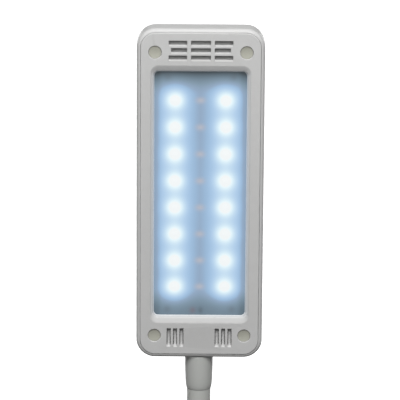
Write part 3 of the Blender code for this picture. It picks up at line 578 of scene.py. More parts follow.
def shell_rings():
    inner_w, inner_h, inner_r = HEAD_W - 4, HEAD_H - 4, CORNER - 2
    rings = [
        head_ring(inner_w - 3, inner_h - 3, inner_r - 1.5, HEAD_T - 2),
        head_ring(inner_w, inner_h, inner_r, HEAD_T - 3.5),
        head_ring(inner_w, inner_h, inner_r, 3.4),
        head_ring(HEAD_W - 2 * LIP, HEAD_H - 2 * LIP, CORNER - LIP, 3.0),
    ]
    for i in range(9):
        a = math.pi / 2 * i / 8
        inset = LIP * (1 - math.sin(a))
        rings.append(
            head_ring(
                HEAD_W - 2 * inset,
                HEAD_H - 2 * inset,
                CORNER - inset,
                SHELL_D0 + (LIP_DEPTH - SHELL_D0) * (1 - math.cos(a)),
            )
        )
    rings.append(head_ring(HEAD_W, HEAD_H, CORNER, 6.0))
    rings.append(head_ring(HEAD_W, HEAD_H, CORNER, HEAD_T - BACK - 1.5))
    for i in range(9):
        a = math.pi / 2 * i / 8
        inset = BACK * (1 - math.cos(a))
        rings.append(
            head_ring(HEAD_W - 2 * inset, HEAD_H - 2 * inset, CORNER - inset, HEAD_T - BACK + BACK * math.sin(a))
        )
    rings.append(head_ring(HEAD_W - 2 * BACK - 3, HEAD_H - 2 * BACK - 3, CORNER - BACK - 1.5, HEAD_T))
    return rings


bm = bmesh.new()
loft(bm, shell_rings())
shell = to_object(bm, "rear_shell_moulding", HOUSING, 40)
bm = bmesh.new()
turned(
    bm,
    [(0, HEAD_Z0 - 2), (4.2, HEAD_Z0 - 2), (4.2, HEAD_Z0 + 3), (0, HEAD_Z0 + 3)],
    32,
    Matrix.Translation((0, NECK_Y, 0)),
)
combine(shell, "DIFFERENCE", [to_object(bm, "cut", None)], 40)
weight_normals(shell)
piece(shell, "head", ["head_rear_shell"])

# ---------------------------------------------------------------- light head: front bezel
INSET = 1.87
BW, BH, BR = HEAD_W - 2 * INSET, HEAD_H - 2 * INSET, CORNER - INSET
BEVEL = (23.45, 62.3, 3.8)
STEP = (22.3, 59.7, 2.6, 1.12)
GLASS = (21.7, 59.1, 2.1, 3.1)


def between(a, b, t):
    return a + (b - a) * t


def window_ring(x, v, r, d):
    return head_ring(2 * x, 2 * v, r, d)


rings = [head_ring(BW, BH, BR, 2.0), head_ring(BW, BH, BR, 0.45)]
for inset, d in ((0.06, 0.22), (0.2, 0.06), (0.36, 0.0)):
    rings.append(head_ring(BW - 2 * inset, BH - 2 * inset, BR - inset, d))
rings.append(window_ring(BEVEL[0] + 0.3, BEVEL[1] + 0.3, BEVEL[2] + 0.3, 0.0))
rings.append(window_ring(BEVEL[0] + 0.1, BEVEL[1] + 0.12, BEVEL[2] + 0.1, 0.03))
rings.append(window_ring(BEVEL[0] - 0.06, BEVEL[1] - 0.14, BEVEL[2] - 0.06, 0.11))
for t in (0.25, 0.6, 0.9):
    rings.append(
        window_ring(
            between(BEVEL[0], STEP[0], t),
            between(BEVEL[1], STEP[1], t),
            between(BEVEL[2], STEP[2], t),
            between(0, STEP[3], t),
        )
    )
rings.append(window_ring(STEP[0] - 0.02, STEP[1] - 0.03, STEP[2], STEP[3] + 0.08))
rings.append(window_ring(STEP[0] - 0.12, STEP[1] - 0.12, STEP[2] - 0.06, STEP[3] + 0.35))
rings.append(window_ring(*GLASS))
rings.append(window_ring(GLASS[0] + 1.3, GLASS[1] + 1.3, GLASS[2] + 1.3, GLASS[3]))
rings.append(window_ring(BEVEL[0] + 0.8, BEVEL[1] + 0.3, BEVEL[2], 2.0))
bm = bmesh.new()
loft(bm, rings, closed=True)
bezel = to_object(bm, "bezel_moulding", BEZEL_WITH_PAINTED_LIGHT, 42)

PLUGS = [
    ((lo.x + hi.x) / 2, (lo.z + hi.z) / 2, name)
    for name in sorted(NODES)
    if name.startswith("screw_cover_plug")
    for lo, hi in [[mm(v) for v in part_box(name)]]
]
PLUG_R = 2.98
wells, cuts = [], []
for x, z, _ in PLUGS:
    bm = bmesh.new()
    turned(bm, [(0, 1.0), (4.3, 1.0), (4.3, 5.3), (0, 5.3)], 40, along_y(x, HEAD_Y0, z))
    wells.append(to_object(bm, "well", None))
    bm = bmesh.new()
    turned(
        bm,
        [
            (0, -0.5),
            (PLUG_R + 0.32, -0.5),
            (PLUG_R + 0.32, 0.0),
            (PLUG_R + 0.22, 0.06),
            (PLUG_R + 0.1, 0.28),
            (PLUG_R + 0.02, 0.45),
            (PLUG_R, 0.6),
            (PLUG_R, 3.4),
            (1.5, 3.4),
            (1.5, 6),
            (0, 6),
        ],
        40,
        along_y(x, HEAD_Y0, z),
    )
    cuts.append(to_object(bm, "well_cut", None))
combine(bezel, "UNION", wells, 42)
combine(bezel, "DIFFERENCE", cuts, 42)


def slot_cutter(x0, x1, z_top, z_dark, z_lip, r=0.32):
    """A level slot with rounded ends, whose lower edge is a ramp down from the face."""
    bm = bmesh.new()
    w, h = x1 - x0, z_top - z_dark
    cx, cz = (x0 + x1) / 2, (z_top + z_dark) / 2
    loft(
        bm,
        [[Vector((cx + x, HEAD_Y0 + d, cz + v)) for x, v in rounded(w, h, r, 4)] for d in (-1.0, 1.8)],
        ngon=True,
    )
    slot = to_object(bm, "slot", None)
    bm = bmesh.new()
    prism(
        bm,
        [
            (HEAD_Y0 - 1.0, z_lip),
            (HEAD_Y0, z_lip),
            (HEAD_Y0 + 0.1, z_lip + 0.07),
            (HEAD_Y0 + 0.6, z_dark),
            (HEAD_Y0 + 0.6, z_dark + 0.3),
            (HEAD_Y0 - 1.0, z_dark + 0.3),
        ],
        "x",
        x0 + 0.02,
        x1 - 0.02,
    )
    return combine(slot, "UNION", [to_object(bm, "ramp", None)])


vents = []
for row, top in enumerate((74.25, 70.75, 67.25)):
    end = 13.95 if row == 1 else 15.05
    for x0, x1 in ((-end, -6.4), (-4.65, 4.65), (6.4, end)):
        vents.append(slot_cutter(x0, x1, HEAD_ZC + top, HEAD_ZC + top - 2.05, HEAD_ZC + top - 2.66))
for sx in (-1, 1):
    for x in (8.4, 11.45, 14.5):
        z1, z0 = HEAD_ZC - 65.0, HEAD_ZC - 74.2
        y0 = HEAD_Y0
        foot = [(y0 + 0.78, z0 + 0.8), (y0 + 0.1, z0 + 0.08), (y0, z0), (y0 - 1.0, z0)]
        ramp = [(y0 - 1.0, z1), (y0 + 1.88, z1), (y0 + 1.88, z1 - 0.9), (y0 + 1.5, z1 - 2.0), (y0 + 0.95, z0 + 2.2)] + foot
        groove = [(y0 - 1.0, z1), (y0 + 1.88, z1), (y0 + 1.88, z0 + 1.3)] + foot
        parts = []
        for path, a, b in ((ramp, -0.62, 0.62), (groove, -0.97, -0.55), (groove, 0.55, 0.97)):
            bm = bmesh.new()
            prism(bm, path, "x", sx * x + a, sx * x + b)
            parts.append(to_object(bm, "vent", None))
        vents.append(combine(parts[0], "UNION", parts[1:]))
combine(bezel, "DIFFERENCE", vents, 42)
weight_normals(bezel)
piece(bezel, "head", ["head_front_bezel"])

# ---------------------------------------------------------------- screw cover plugs
for x, z, name in PLUGS:
    bm = bmesh.new()
    r = PLUG_R - 0.03
    turned(
        bm,
        [(0, 0.82)] + [(r * q, 0.46 + 0.36 * (1 - q * q)) for q in (0.2, 0.35, 0.5, 0.62, 0.74, 0.84, 0.92)] + [(r - 0.1, 0.49), (r - 0.03, 0.57), (r, 0.73), (r, 1.6), (0, 1.6)],
        40,
        along_y(x, HEAD_Y0, z),
    )
    plug = to_object(bm, name.replace("screw_cover_plug", "plug_disc"), PLUG, 50)
    piece(plug, "head", [name])

# ---------------------------------------------------------------- LED board, LEDs, leads
LENS_D = lens_lo.y - HEAD_Y0
BOARD_D0 = 7.0
LED_TOP = board_lo.y - HEAD_Y0
LED_X, PITCH, ROWS = 11.9, 12.93, 8
LED_V = [PITCH * (ROWS - 1) / 2 - PITCH * i for i in range(ROWS)]

t = Tree("board_solder_mask")
pcb = t.noise(90.0, 3.0)
weave = t.noise(1400.0, 2.0)
t.link(t.mix(pcb, (0.60, 0.68, 0.78), (0.68, 0.76, 0.85)), t.bsdf.inputs["Base Color"])
t.link(t.maths("MULTIPLY_ADD", weave, 0.2, 0.35), t.bsdf.inputs["Roughness"])
t.link(t.bump(weave, 0.2, 0.00005), t.bsdf.inputs["Normal"])
BOARD = t.mat

bm = bmesh.new()
loft(bm, [head_ring(42, 120, 2.0, BOARD_D0, 6), head_ring(42, 120, 2.0, BOARD_D0 + 1.2, 6)])
board = to_object(bm, "led_board_panel", BOARD)
SCREWS = [
    ((lo.x + hi.x) / 2, (lo.z + hi.z) / 2, name)
    for name in sorted(NODES)
    if name.startswith("led_board_screw")
    for lo, hi in [[mm(v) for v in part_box(name)]]
]
cuts = []
for x, z, _ in SCREWS:
    bm = bmesh.new()
    turned(bm, [(0, 6), (1.15, 6), (1.15, 10), (0, 10)], 20, along_y(x, HEAD_Y0, z))
    cuts.append(to_object(bm, "cut", None))
combine(board, "DIFFERENCE", cuts)
piece(board, "head", ["led_board"])


def led_set(name, columns, mat_body, mat_face, w=3.5, h=2.8):
    """White packages, each with a recessed round-cornered phosphor face."""
    bm = bmesh.new()
    for v in LED_V:
        for x in columns:
            z = HEAD_ZC + v
            frame_rings = [
                (w, h, 0.25, BOARD_D0 - 0.01),
                (w, h, 0.25, LED_TOP + 0.05),
                (w - 0.1, h - 0.1, 0.22, LED_TOP),
                (w - 0.7, h - 0.7, 0.5, LED_TOP),
                (w - 0.9, h - 0.9, 0.45, LED_TOP + 0.18),
            ]
            loft(
                bm,
                [
                    [Vector((x + a, HEAD_Y0 + d, z + b)) for a, b in rounded(ww, hh, r, 3)]
                    for ww, hh, r, d in frame_rings
                ],
                caps=(True, True),
                ngon=True,
            )
    body = to_object(bm, name + "_packages", mat_body, 30)
    bm = bmesh.new()
    for v in LED_V:
        for x in columns:
            z = HEAD_ZC + v
            loft(
                bm,
                [
                    [Vector((x + a * s, HEAD_Y0 + d, z + b * s)) for a, b in rounded(w - 0.95, h - 0.95, 0.45, 3)]
                    for s, d in ((1.0, LED_TOP + 0.16), (1.0, LED_TOP + 0.06), (0.8, LED_TOP + 0.03), (0.4, LED_TOP + 0.02))
                ],
                ngon=True,
            )
    face = to_object(bm, name + "_phosphor", mat_face, 50)
    piece(body, "head")
    piece(face, "head")
    return body, face


PACKAGE = moulded("led_package", (0.8, 0.82, 0.84), 0.4, 0.1, 0.02)
COOL = emissive("cool_white_phosphor", (0.88, 0.93, 0.95), 1.0)
WARM = moulded("warm_white_phosphor", (0.62, 0.42, 0.22), 0.35, 0.15, 0.05)
led_set("cool_white", (-LED_X, LED_X), PACKAGE, COOL)
led_set("warm_white", (0.0,), PACKAGE, WARM)

LEAD_D = BOARD_D0 - 0.9
for node, x, mat, slot in (("red_lead", -3.2, RED_WIRE, "red_pvc"), ("black_lead", 0.6, BLACK_WIRE, "black_pvc")):
    s = -0.9 if node == "red_lead" else 0.9
    bm = bmesh.new()
    path = smooth_path(
        [
            (s, NECK_Y, HEAD_Z0 + 12.6),
            (s * 1.2, NECK_Y - 0.2, HEAD_Z0 + 15.0),
            (x * 0.9, NECK_Y - 1.4, HEAD_Z0 + 17.4),
            (x, HEAD_Y0 + LEAD_D, HEAD_Z0 + 20.0),
            (x, HEAD_Y0 + LEAD_D, HEAD_ZC - 57.8),
        ],
        8,
    )
    tube(bm, path, 0.55, 16)
    tip = path[-1]
    # stripped core and a domed solder joint
    tube(bm, [tip - Vector((0, 0, 0.4)), tip + Vector((0, 0.2, 0.5)), tip + Vector((0, 0.55, 1.2))], 0.3, 10)
    piece(to_object(bm, node + "_wire", mat, 50), "head", [node])
bm = bmesh.new()
for x in (-3.2, 0.6):
    turned(
        bm,
        [(0, -0.55), (0.35, -0.5), (0.7, -0.32), (0.95, -0.1), (1.1, 0.0), (0, 0.02)],
        20,
        along_y(x, HEAD_Y0 + BOARD_D0 - 0.02, HEAD_ZC - 56.5),
    )
piece(to_object(bm, "lead_solder_joints", STEEL, 50), "head")

# ---------------------------------------------------------------- diffuser lens
# painted light: the lit face's brightness (0..1), an emission standing in for the LEDs' light through the sheet: a
# level, plus (height, width across, width along) of each LED's spot and of a column's haze
GLOW_BASE = 148 / 255
GLOW_SPOT = (75 / 255, 4.4, 4.05)
GLOW_COLUMN = (41 / 255, 7.2, 8.9)
GLOW_STRENGTH = 0.90
GLOW_OFF = (0.060, 0.070, 0.080)  # what the sheet reflects and lets through besides
GLOW_COLOURS = [
    (60, 66, 70),
    (90, 100, 107),
    (112, 129, 141),
    (135, 156, 173),
    (151, 173, 198),
    (158, 187, 216),
    (166, 196, 226),
    (180, 208, 235),
    (197, 222, 242),
    (216, 237, 249),
    (234, 249, 254),
    (243, 247, 248),
]
t = Tree("diffuser_frosted_painted_glow")
sep = t.nt.nodes.new("ShaderNodeSeparateXYZ")
t.link(t.coord.outputs["Object"], sep.inputs[0])
X = t.maths("MULTIPLY", sep.outputs["X"], 1000.0)
V = t.maths("SUBTRACT", t.maths("MULTIPLY", sep.outputs["Z"], 1000.0), HEAD_ZC)


def bell(x, width):
    """exp(-(x / width)^2)"""
    q = t.maths("DIVIDE", x, width)
    return t.maths("EXPONENT", t.maths("MULTIPLY", t.maths("MULTIPLY", q, q), -1.0))


def times(*factors):
    out = factors[0]
    for f in factors[1:]:
        out = t.maths("MULTIPLY", out, f)
    return out


def plus(*terms):
    out = terms[0]
    for f in terms[1:]:
        out = t.maths("ADD", out, f)
    return out


def step(x, a, b):
    n = t.nt.nodes.new("ShaderNodeMapRange")
    n.interpolation_type = "SMOOTHSTEP"
    n.inputs["From Min"].default_value = a
    n.inputs["From Max"].default_value = b
    t.link(x, n.inputs["Value"])
    return n.outputs["Result"]


# distance past the end rows, to the nearest row (the end row is the nearest one beyond it) and to a lit column
beyond = t.maths("MAXIMUM", t.maths("SUBTRACT", t.maths("ABSOLUTE", V), LED_V[0]), 0.0)
near = t.maths("SUBTRACT", t.maths("FLOORED_MODULO", V, PITCH), PITCH / 2)
row = t.maths("MAXIMUM", t.maths("ABSOLUTE", near), 0.0)
out_of = t.maths("GREATER_THAN", beyond, PITCH / 2)
row = plus(times(row, t.maths("SUBTRACT", 1.0, out_of)), times(beyond, out_of))
side = t.maths("SUBTRACT", t.maths("ABSOLUTE", X), LED_X)
far_row = times(bell(t.maths("SUBTRACT", PITCH, row), GLOW_SPOT[2]), t.maths("SUBTRACT", 1.0, step(beyond, 0.0, PITCH / 2)))
spot = times(bell(side, GLOW_SPOT[1]), plus(bell(row, GLOW_SPOT[2]), far_row))
column = times(bell(side, GLOW_COLUMN[1]), bell(beyond, GLOW_COLUMN[2]))
# painted shade: the glow is lowered near the long sides and at both ends, where the recess walls shade the sheet
side_painted_shade = step(t.maths("ABSOLUTE", X), 17.3, 20.8)
top_end = t.maths("MAXIMUM", t.maths("SUBTRACT", V, 47.7), 0.0)
low_end = t.maths("MAXIMUM", t.maths("SUBTRACT", t.maths("MULTIPLY", V, -1.0), 45.7), 0.0)
# the painted glow: a level, LED spots and column haze, lowered by the painted shade at the sides and ends
glow = plus(
    GLOW_BASE,
    times(spot, GLOW_SPOT[0]),
    times(column, GLOW_COLUMN[0]),
    times(side_painted_shade, -0.043),
    times(top_end, top_end, -0.5 / 255),
    times(step(low_end, 0.0, 12.0), -30.0 / 255),
    times(bell(V, 30.0), 3.0 / 255),
)
cloud = t.noise(70.0, 2.0)
glow = times(glow, t.maths("MULTIPLY_ADD", cloud, 0.02, 0.99))
glow_ramp = t.nt.nodes.new("ShaderNodeValToRGB")
while len(glow_ramp.color_ramp.elements) < len(GLOW_COLOURS):
    glow_ramp.color_ramp.elements.new(0.5)
for e, rgb in zip(glow_ramp.color_ramp.elements, GLOW_COLOURS):
    e.position = rgb[0] / 255
    e.color = (*(max(((c / 255 + 0.055) / 1.055) ** 2.4 - off, 0.0) / 0.88 for c, off in zip(rgb, GLOW_OFF)), 1)
t.link(t.maths("MINIMUM", glow, 243 / 255), glow_ramp.inputs["Fac"])
# painted into the glow: a warmer spot where the middle column's warm-white LEDs stand behind the sheet
warm_spot = times(bell(X, 2.2), bell(row, 1.5), t.maths("SUBTRACT", 1.0, step(beyond, 0.0, PITCH / 2)), 0.9)
emit = t.mix(warm_spot, glow_ramp.outputs["Color"], (0.475, 0.488, 0.555))
# painted shadows in the glow: the board's screws and the joints of the two wires darken the sheet where they stand
# behind it
for sx in (-1, 1):
    for sv in (-1, 1):
        shade = times(bell(t.maths("SUBTRACT", X, sx * 15.35), 1.7), bell(t.maths("SUBTRACT", V, sv * 56.5), 1.7), 0.30)
        emit = t.mix(shade, emit, (0.09, 0.105, 0.12))
for x, width, share, tint in ((-3.2, 1.5, 0.30, (0.20, 0.05, 0.05)), (0.6, 1.2, 0.35, (0.04, 0.05, 0.06))):
    shade = times(bell(t.maths("SUBTRACT", X, x), width), bell(t.maths("ADD", V, 57.0), 1.7), share)
    emit = t.mix(shade, emit, tint)
t.link(emit, t.bsdf.inputs["Emission Color"])
t.bsdf.inputs["Emission Strength"].default_value = GLOW_STRENGTH
frost = t.noise(3200.0, 2.0)
t.link(t.mix(cloud, (0.030, 0.036, 0.042), (0.036, 0.042, 0.048)), t.bsdf.inputs["Base Color"])
t.link(t.maths("MULTIPLY_ADD", frost, 0.14, 0.30), t.bsdf.inputs["Roughness"])
t.link(t.bump(frost, 0.12, 0.00003), t.bsdf.inputs["Normal"])
t.bsdf.inputs["Alpha"].default_value = 0.88
LENS = t.mat
bm = bmesh.new()
lw, lh, lr = lens_hi.x - lens_lo.x, lens_hi.z - lens_lo.z, GLASS[2] + 1.3
loft(
    bm,
    [
        head_ring(lw, lh, lr, LENS_D + 1.6, 8),
        head_ring(lw, lh, lr, LENS_D + 0.1, 8),
        head_ring(lw - 0.2, lh - 0.2, lr - 0.1, LENS_D, 8),
    ],
)
lens = to_object(bm, "diffuser_sheet", LENS, 30)
piece(lens, "head", ["diffuser_lens"])

# ---------------------------------------------------------------- screws with cross recesses
def cross_screw(name, node, head_r, head_h, shank_r, length, place, body, turn=0.0):
    bm = bmesh.new()
    profile = [(0, 0.0)] + [
        (head_r * math.sin(math.radians(a)), head_h * 0.55 * (1 - math.cos(math.radians(a)))) for a in (15, 30, 45, 60, 75, 90)
    ]
    profile += [(head_r, head_h - 0.12), (head_r - 0.12, head_h), (shank_r, head_h)]
    z = head_h
    while z + 0.8 < length - shank_r:
        profile += [(shank_r * 0.82, z + 0.2), (shank_r * 0.82, z + 0.4), (shank_r, z + 0.6), (shank_r, z + 0.7)]
        z += 0.8
    profile += [(shank_r * 0.8, length - shank_r), (0, length)]
    turned(bm, profile, 28, place)
    obj = to_object(bm, name, STEEL, 35)
    spin = place @ Matrix.Rotation(math.radians(turn), 4, "Z")
    cutter = bmesh.new()
    arm, half = head_r * 0.55, head_r * 0.11
    outline = [(half, half), (arm, half), (arm, -half), (half, -half), (half, -arm), (-half, -arm), (-half, -half), (-arm, -half), (-arm, half), (-half, half), (-half, arm), (half, arm)]
    loft(
        cutter,
        [[spin @ Vector((x * s, y * s, d)) for x, y in outline] for s, d in ((1.15, -0.4), (1.0, 0.1), (0.5, head_h * 0.75))],
        ngon=True,
    )
    combine(obj, "DIFFERENCE", [to_object(cutter, "cross", None)], 35)
    piece(obj, body, [node])
    return obj


for i, (x, z, name) in enumerate(SCREWS):
    cross_screw(
        name.replace("led_board_screw", "board_screw_cross"), name, 1.8, 1.2, 0.75, 4.5,
        along_y(x, HEAD_Y0 + BOARD_D0 - 1.5, z), "head", 20 + 31 * i,
    )

# ---------------------------------------------------------------- gooseneck
NECK_R = 5.7
HERE = Matrix.Translation((0, NECK_Y, 0))
top_collar_lo, top_collar_hi = (mm(v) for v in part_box("neck_top_collar"))
base_collar_lo, base_collar_hi = (mm(v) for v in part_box("neck_base_collar"))
hinge_z = [j["pos_m"][2] / MM for j in HINGES]
cuts_z = [cover_hi.z + 0.3] + [(a + b) / 2 for a, b in zip(hinge_z, hinge_z[1:])] + [HEAD_Z0 - 0.3]
BEND = 11.0
for k, j in enumerate(HINGES):
    z0, z1 = cuts_z[k], cuts_z[k + 1]
    # the piece's ends meet the next piece's; levels are closer together round the hinge
    levels = [z0, z0 + 0.5]
    z = z0 + 2.0
    while z < hinge_z[k] - BEND:
        levels.append(z)
        z += 3.0
    z = hinge_z[k] - BEND
    while z <= hinge_z[k] + BEND:
        levels.append(z)
        z += 1.0
    while z < z1 - 1.0:
        levels.append(z)
        z += 3.0
    levels.append(z1)
    levels = sorted(set(round(v, 4) for v in levels))
    bm = bmesh.new()
    profile = [(NECK_R, v) for v in levels]
    inner = [(4.5, v) for v in reversed(levels)]
    turned(bm, profile + inner, 40, HERE, close=True)
    sleeve = to_object(bm, f"sleeve_length_{k + 1}", SLEEVE, 60)
    nodes = [f"neck_sleeve_{k + 1}"] + ([f"neck_sleeve_{LAST}"] if k == len(HINGES) - 1 else [])
    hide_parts(*nodes)
    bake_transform(sleeve)


def collar(name, node, outer, bore, body):
    """outer holds (radius, height) from one end to the other."""
    bm = bmesh.new()
    turned(bm, [(bore, outer[0][1])] + outer + [(bore, outer[-1][1])], 48, HERE, close=True)
    obj = to_object(bm, name, COLLAR, 40)
    piece(obj, body, [node])
    return obj


Z = HEAD_Z0
collar(
    "top_collar_boot",
    "neck_top_collar",
    [
        (6.62, Z - 0.06),
        (6.69, Z - 0.4),
        (6.7, Z - 1.0),
        (6.68, Z - 4.5),
        (6.62, Z - 8.0),
        (6.52, Z - 11.0),
        (6.44, Z - 13.0),
        (6.34, Z - 14.4),
        (6.2, Z - 15.5),
        (6.02, Z - 16.4),
        (5.86, Z - 16.95),
        (5.76, Z - 17.1),
    ],
    5.72,
    "head",
)
Z = cover_hi.z
collar(
    "base_collar_boot",
    "neck_base_collar",
    [(8.3, Z + 0.3), (8.6, Z + 0.55), (8.6, Z + 2.1)]
    + [(8.6 - 0.35 * (1 - math.cos(math.radians(a))), Z + 2.1 + 0.35 * math.sin(math.radians(a))) for a in (30, 60, 90)]
    + [(7.95, Z + 2.75), (7.65, Z + 3.6), (7.4, Z + 5.2), (7.1, Z + 8.5), (6.75, Z + 12.0), (6.4, Z + 15.2), (6.15, Z + 16.5), (5.9, Z + 17.0), (5.78, Z + 17.1)],
    5.72,
    "clip_base",
)

# ---------------------------------------------------------------- clip housing cover
BX = cover_hi.x
Y0, Y1 = cover_lo.y, cover_hi.y
BYC, BL = (Y0 + Y1) / 2, Y1 - Y0
CZ0, CZ1 = cover_lo.z, cover_hi.z
SLOPE_Y, TIP_Z = Y0 + 32.0, CZ1 - 9.0
BUTTONS = [
    ((lo.x + hi.x) / 2, (lo.y + hi.y) / 2, name)
    for name in ("power_button", "colour_button")
    for lo, hi in [[mm(v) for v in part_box(name)]]
]
BUTTON_R = 6.0


def top_at(y):
    """The top falls towards the tip, from SLOPE_Y on; base_ring smooths the turn there."""
    if y >= SLOPE_Y:
        return CZ1
    return CZ1 - (CZ1 - TIP_Z) * (SLOPE_Y - y) / (SLOPE_Y - Y0)


def base_ring(inset, share, lower=0.0, corner=10.0, n=12):
    pts = rounded(
        2 * (BX - inset), BL - 2 * inset, max(corner - inset, 1.0), n, extra=(SLOPE_Y - BYC + 3, SLOPE_Y - BYC, SLOPE_Y - BYC - 3)
    )
    out = []
    for x, v in pts:
        y = BYC + v
        top = top_at(y)
        d = abs(y - SLOPE_Y)
        if d < 3.0:
            top -= (CZ1 - TIP_Z) / (SLOPE_Y - Y0) * (3.0 - d) ** 2 / 12.0
        top -= lower
        out.append(Vector((x, y, CZ0 + (top - CZ0) * share)))
    return out


rings = [base_ring(2.0, 1.0, 2.0), base_ring(2.0, 0.0), base_ring(0.25, 0.0), base_ring(0.02, 0.02), base_ring(0.0, 0.05)]
for i in range(9):
    a = math.pi / 2 * i / 8
    rings.append(base_ring(3.0 * (1 - math.cos(a)) + 0.001, 1.0, 3.0 * (1 - math.sin(a))))
rings.append(base_ring(4.5, 1.0, 0.0))
bm = bmesh.new()
loft(bm, rings)
cover = to_object(bm, "cover_moulding", HOUSING, 40)
cuts = []
for x, y, _ in BUTTONS:
    bm = bmesh.new()
    r = BUTTON_R + 0.22
    turned(
        bm,
        [(0, CZ1 - 4), (r, CZ1 - 4), (r, CZ1 - 0.35), (r + 0.08, CZ1 - 0.12), (r + 0.32, CZ1 + 0.001), (r + 0.32, CZ1 + 2), (0, CZ1 + 2)],
        48,
        Matrix.Translation((x, y, 0)),
    )
    cuts.append(to_object(bm, "cut", None))
bm = bmesh.new()
turned(bm, [(0, CZ1 - 4), (4.2, CZ1 - 4), (4.2, CZ1 + 2), (0, CZ1 + 2)], 32, HERE)
cuts.append(to_object(bm, "cut", None))
usb_lo, usb_hi = (mm(v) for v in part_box("usb_c_port"))
USB_X, USB_Z = (usb_lo.x + usb_hi.x) / 2, (usb_lo.z + usb_hi.z) / 2
bm = bmesh.new()
loft(
    bm,
    [
        [Vector((USB_X + x, y, USB_Z + v)) for x, v in rounded(9.8 + g, 4.0 + g, 2.0 + g / 2 - 0.01, 8)]
        for y, g in ((Y1 - 4, 0), (Y1 - 0.35, 0), (Y1 - 0.1, 0.15), (Y1 + 0.001, 0.5), (Y1 + 1, 0.5))
    ],
    ngon=True,
)
cuts.append(to_object(bm, "cut", None))
combine(cover, "DIFFERENCE", cuts, 40)
weight_normals(cover)
piece(cover, "clip_base", ["base_top_cover"])

# ---------------------------------------------------------------- clip housing bottom plate
PZ0, PZ1 = plate_hi.z - 3.0, plate_hi.z
bm = bmesh.new()
rings = []
for inset, z in ((0.25, PZ1), (0.02, PZ1 - 0.12), (0, PZ1 - 0.3), (0, PZ0 + 0.9), (0.06, PZ0 + 0.55), (0.25, PZ0 + 0.22), (0.55, PZ0 + 0.05), (0.9, PZ0)):
    rings.append([Vector((x, BYC + v, z)) for x, v in rounded(2 * (BX - inset), BL - 2 * inset, 10 - inset, 12)])
loft(bm, rings)
plate = to_object(bm, "plate_moulding", HOUSING, 40)
PY, PZ = PIVOT.y, PIVOT.z
adds = []
ear = [(PY - 7.5, PZ0 + 1.0), (PY + 7.5, PZ0 + 1.0)]
ear += [(PY + a, PZ - b) for a, b in arc(0, 0, 5.4, 0, 180, 24)]


def plate_with_fillet(outline, x0, x1, f=0.5, name="part"):
    """A flat plate across x with softened edges."""
    bm = bmesh.new()
    prism(bm, outline, "x", x0, x1)
    geom = [e for e in bm.edges if abs(e.verts[0].co.x - e.verts[1].co.x) < 1e-6]
    bmesh.ops.bevel(bm, geom=geom, offset=f, segments=3, profile=0.5, affect="EDGES", clamp_overlap=True)
    return to_object(bm, name, None)


for s in (-1, 1):
    adds.append(plate_with_fillet(ear, min(s * 13.0, s * 16.5), max(s * 13.0, s * 16.5)))
STOP_Z0 = lever_hi.z + 0.3 if False else -(3.0 + 2.0)
bm = bmesh.new()
box(bm, -9.0, 9.0, PY - 14.6, PY - 11.6, STOP_Z0, PZ0 + 1.0)
bmesh.ops.bevel(bm, geom=list(bm.edges), offset=0.5, segments=3, profile=0.5, affect="EDGES")
adds.append(to_object(bm, "stop", None))
combine(plate, "UNION", adds, 40)
cuts = []
bm = bmesh.new()
turned(bm, [(0, -24), (1.8, -24), (1.8, 24), (0, 24)], 24, along_x(0, PY, PZ))
cuts.append(to_object(bm, "cut", None))
BASE_SCREWS = [
    ((lo.x + hi.x) / 2, (lo.y + hi.y) / 2, lo.z, name)
    for name in sorted(NODES)
    if name.startswith("base_screw")
    for lo, hi in [[mm(v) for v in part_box(name)]]
]
for x, y, z, _ in BASE_SCREWS:
    bm = bmesh.new()
    turned(
        bm,
        [(0, PZ0 - 1), (3.2, PZ0 - 1), (3.2, PZ0), (2.95, PZ0 + 0.2), (2.9, PZ0 + 1.8), (1.35, PZ0 + 1.8), (1.35, PZ0 + 5), (0, PZ0 + 5)],
        32,
        Matrix.Translation((x, y, 0)),
    )
    cuts.append(to_object(bm, "cut", None))
combine(plate, "DIFFERENCE", cuts, 40)
weight_normals(plate)
piece(plate, "clip_base", ["base_bottom_plate"])
for i, (x, y, z, name) in enumerate(BASE_SCREWS):
    cross_screw(name + "_cross", name, 2.5, 1.4, 1.0, 9.0, Matrix.Translation((x, y, z)), "clip_base", 15 + 40 * i)


# ---------------------------------------------------------------- jaw pads, with cross ribs
def rib_pad(name, node, up, body):
    """A rubber pad whose gripping face has rounded ribs across it, from its full height down to 0.7 below."""
    lo, hi = (mm(v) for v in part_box(node))
    yc, xc = (lo.y + hi.y) / 2, (lo.x + hi.x) / 2
    hx, hy = (hi.x - lo.x) / 2, (hi.y - lo.y) / 2
    grip, back = (hi.z, lo.z) if up else (lo.z, hi.z)
    s = 1 if up else -1
    bm = bmesh.new()
    rings = []
    for inset, z in ((0, back), (0, grip - s * 0.9), (0.1, grip - s * 0.78), (0.35, grip - s * 0.7)):
        rings.append([Vector((xc + x, yc + v, z)) for x, v in rounded(2 * (hx - inset), 2 * (hy - inset), 3 - inset, 8)])
    loft(bm, rings)
    pad = to_object(bm, name, PADS, 40)
    ribs = bmesh.new()
    count = 11
    pitch = (2 * hy - 5.0) / (count - 1)
    for i in range(count):
        y = yc - hy + 2.5 + pitch * i
        near_end = min(i, count - 1 - i) == 0
        half = hx - (2.2 if near_end else 1.4)
        profile = [(y + a, grip - s * 0.95 + s * b) for a, b in [(-0.85, 0), (0.85, 0)] + [(0.85 * math.cos(math.radians(q)), 0.95 * math.sin(math.radians(q))) for q in (20, 45, 65, 90, 115, 135, 160)]]
        prism(ribs, profile, "x", xc - half, xc + half)
    combine(pad, "UNION", [to_object(ribs, "ribs", None)], 40)
    piece(pad, body, [node])


rib_pad("upper_pad_ribbed", "upper_jaw_pad", False, "clip_base")
rib_pad("lower_pad_ribbed", "lower_jaw_pad", True, "lower_jaw")

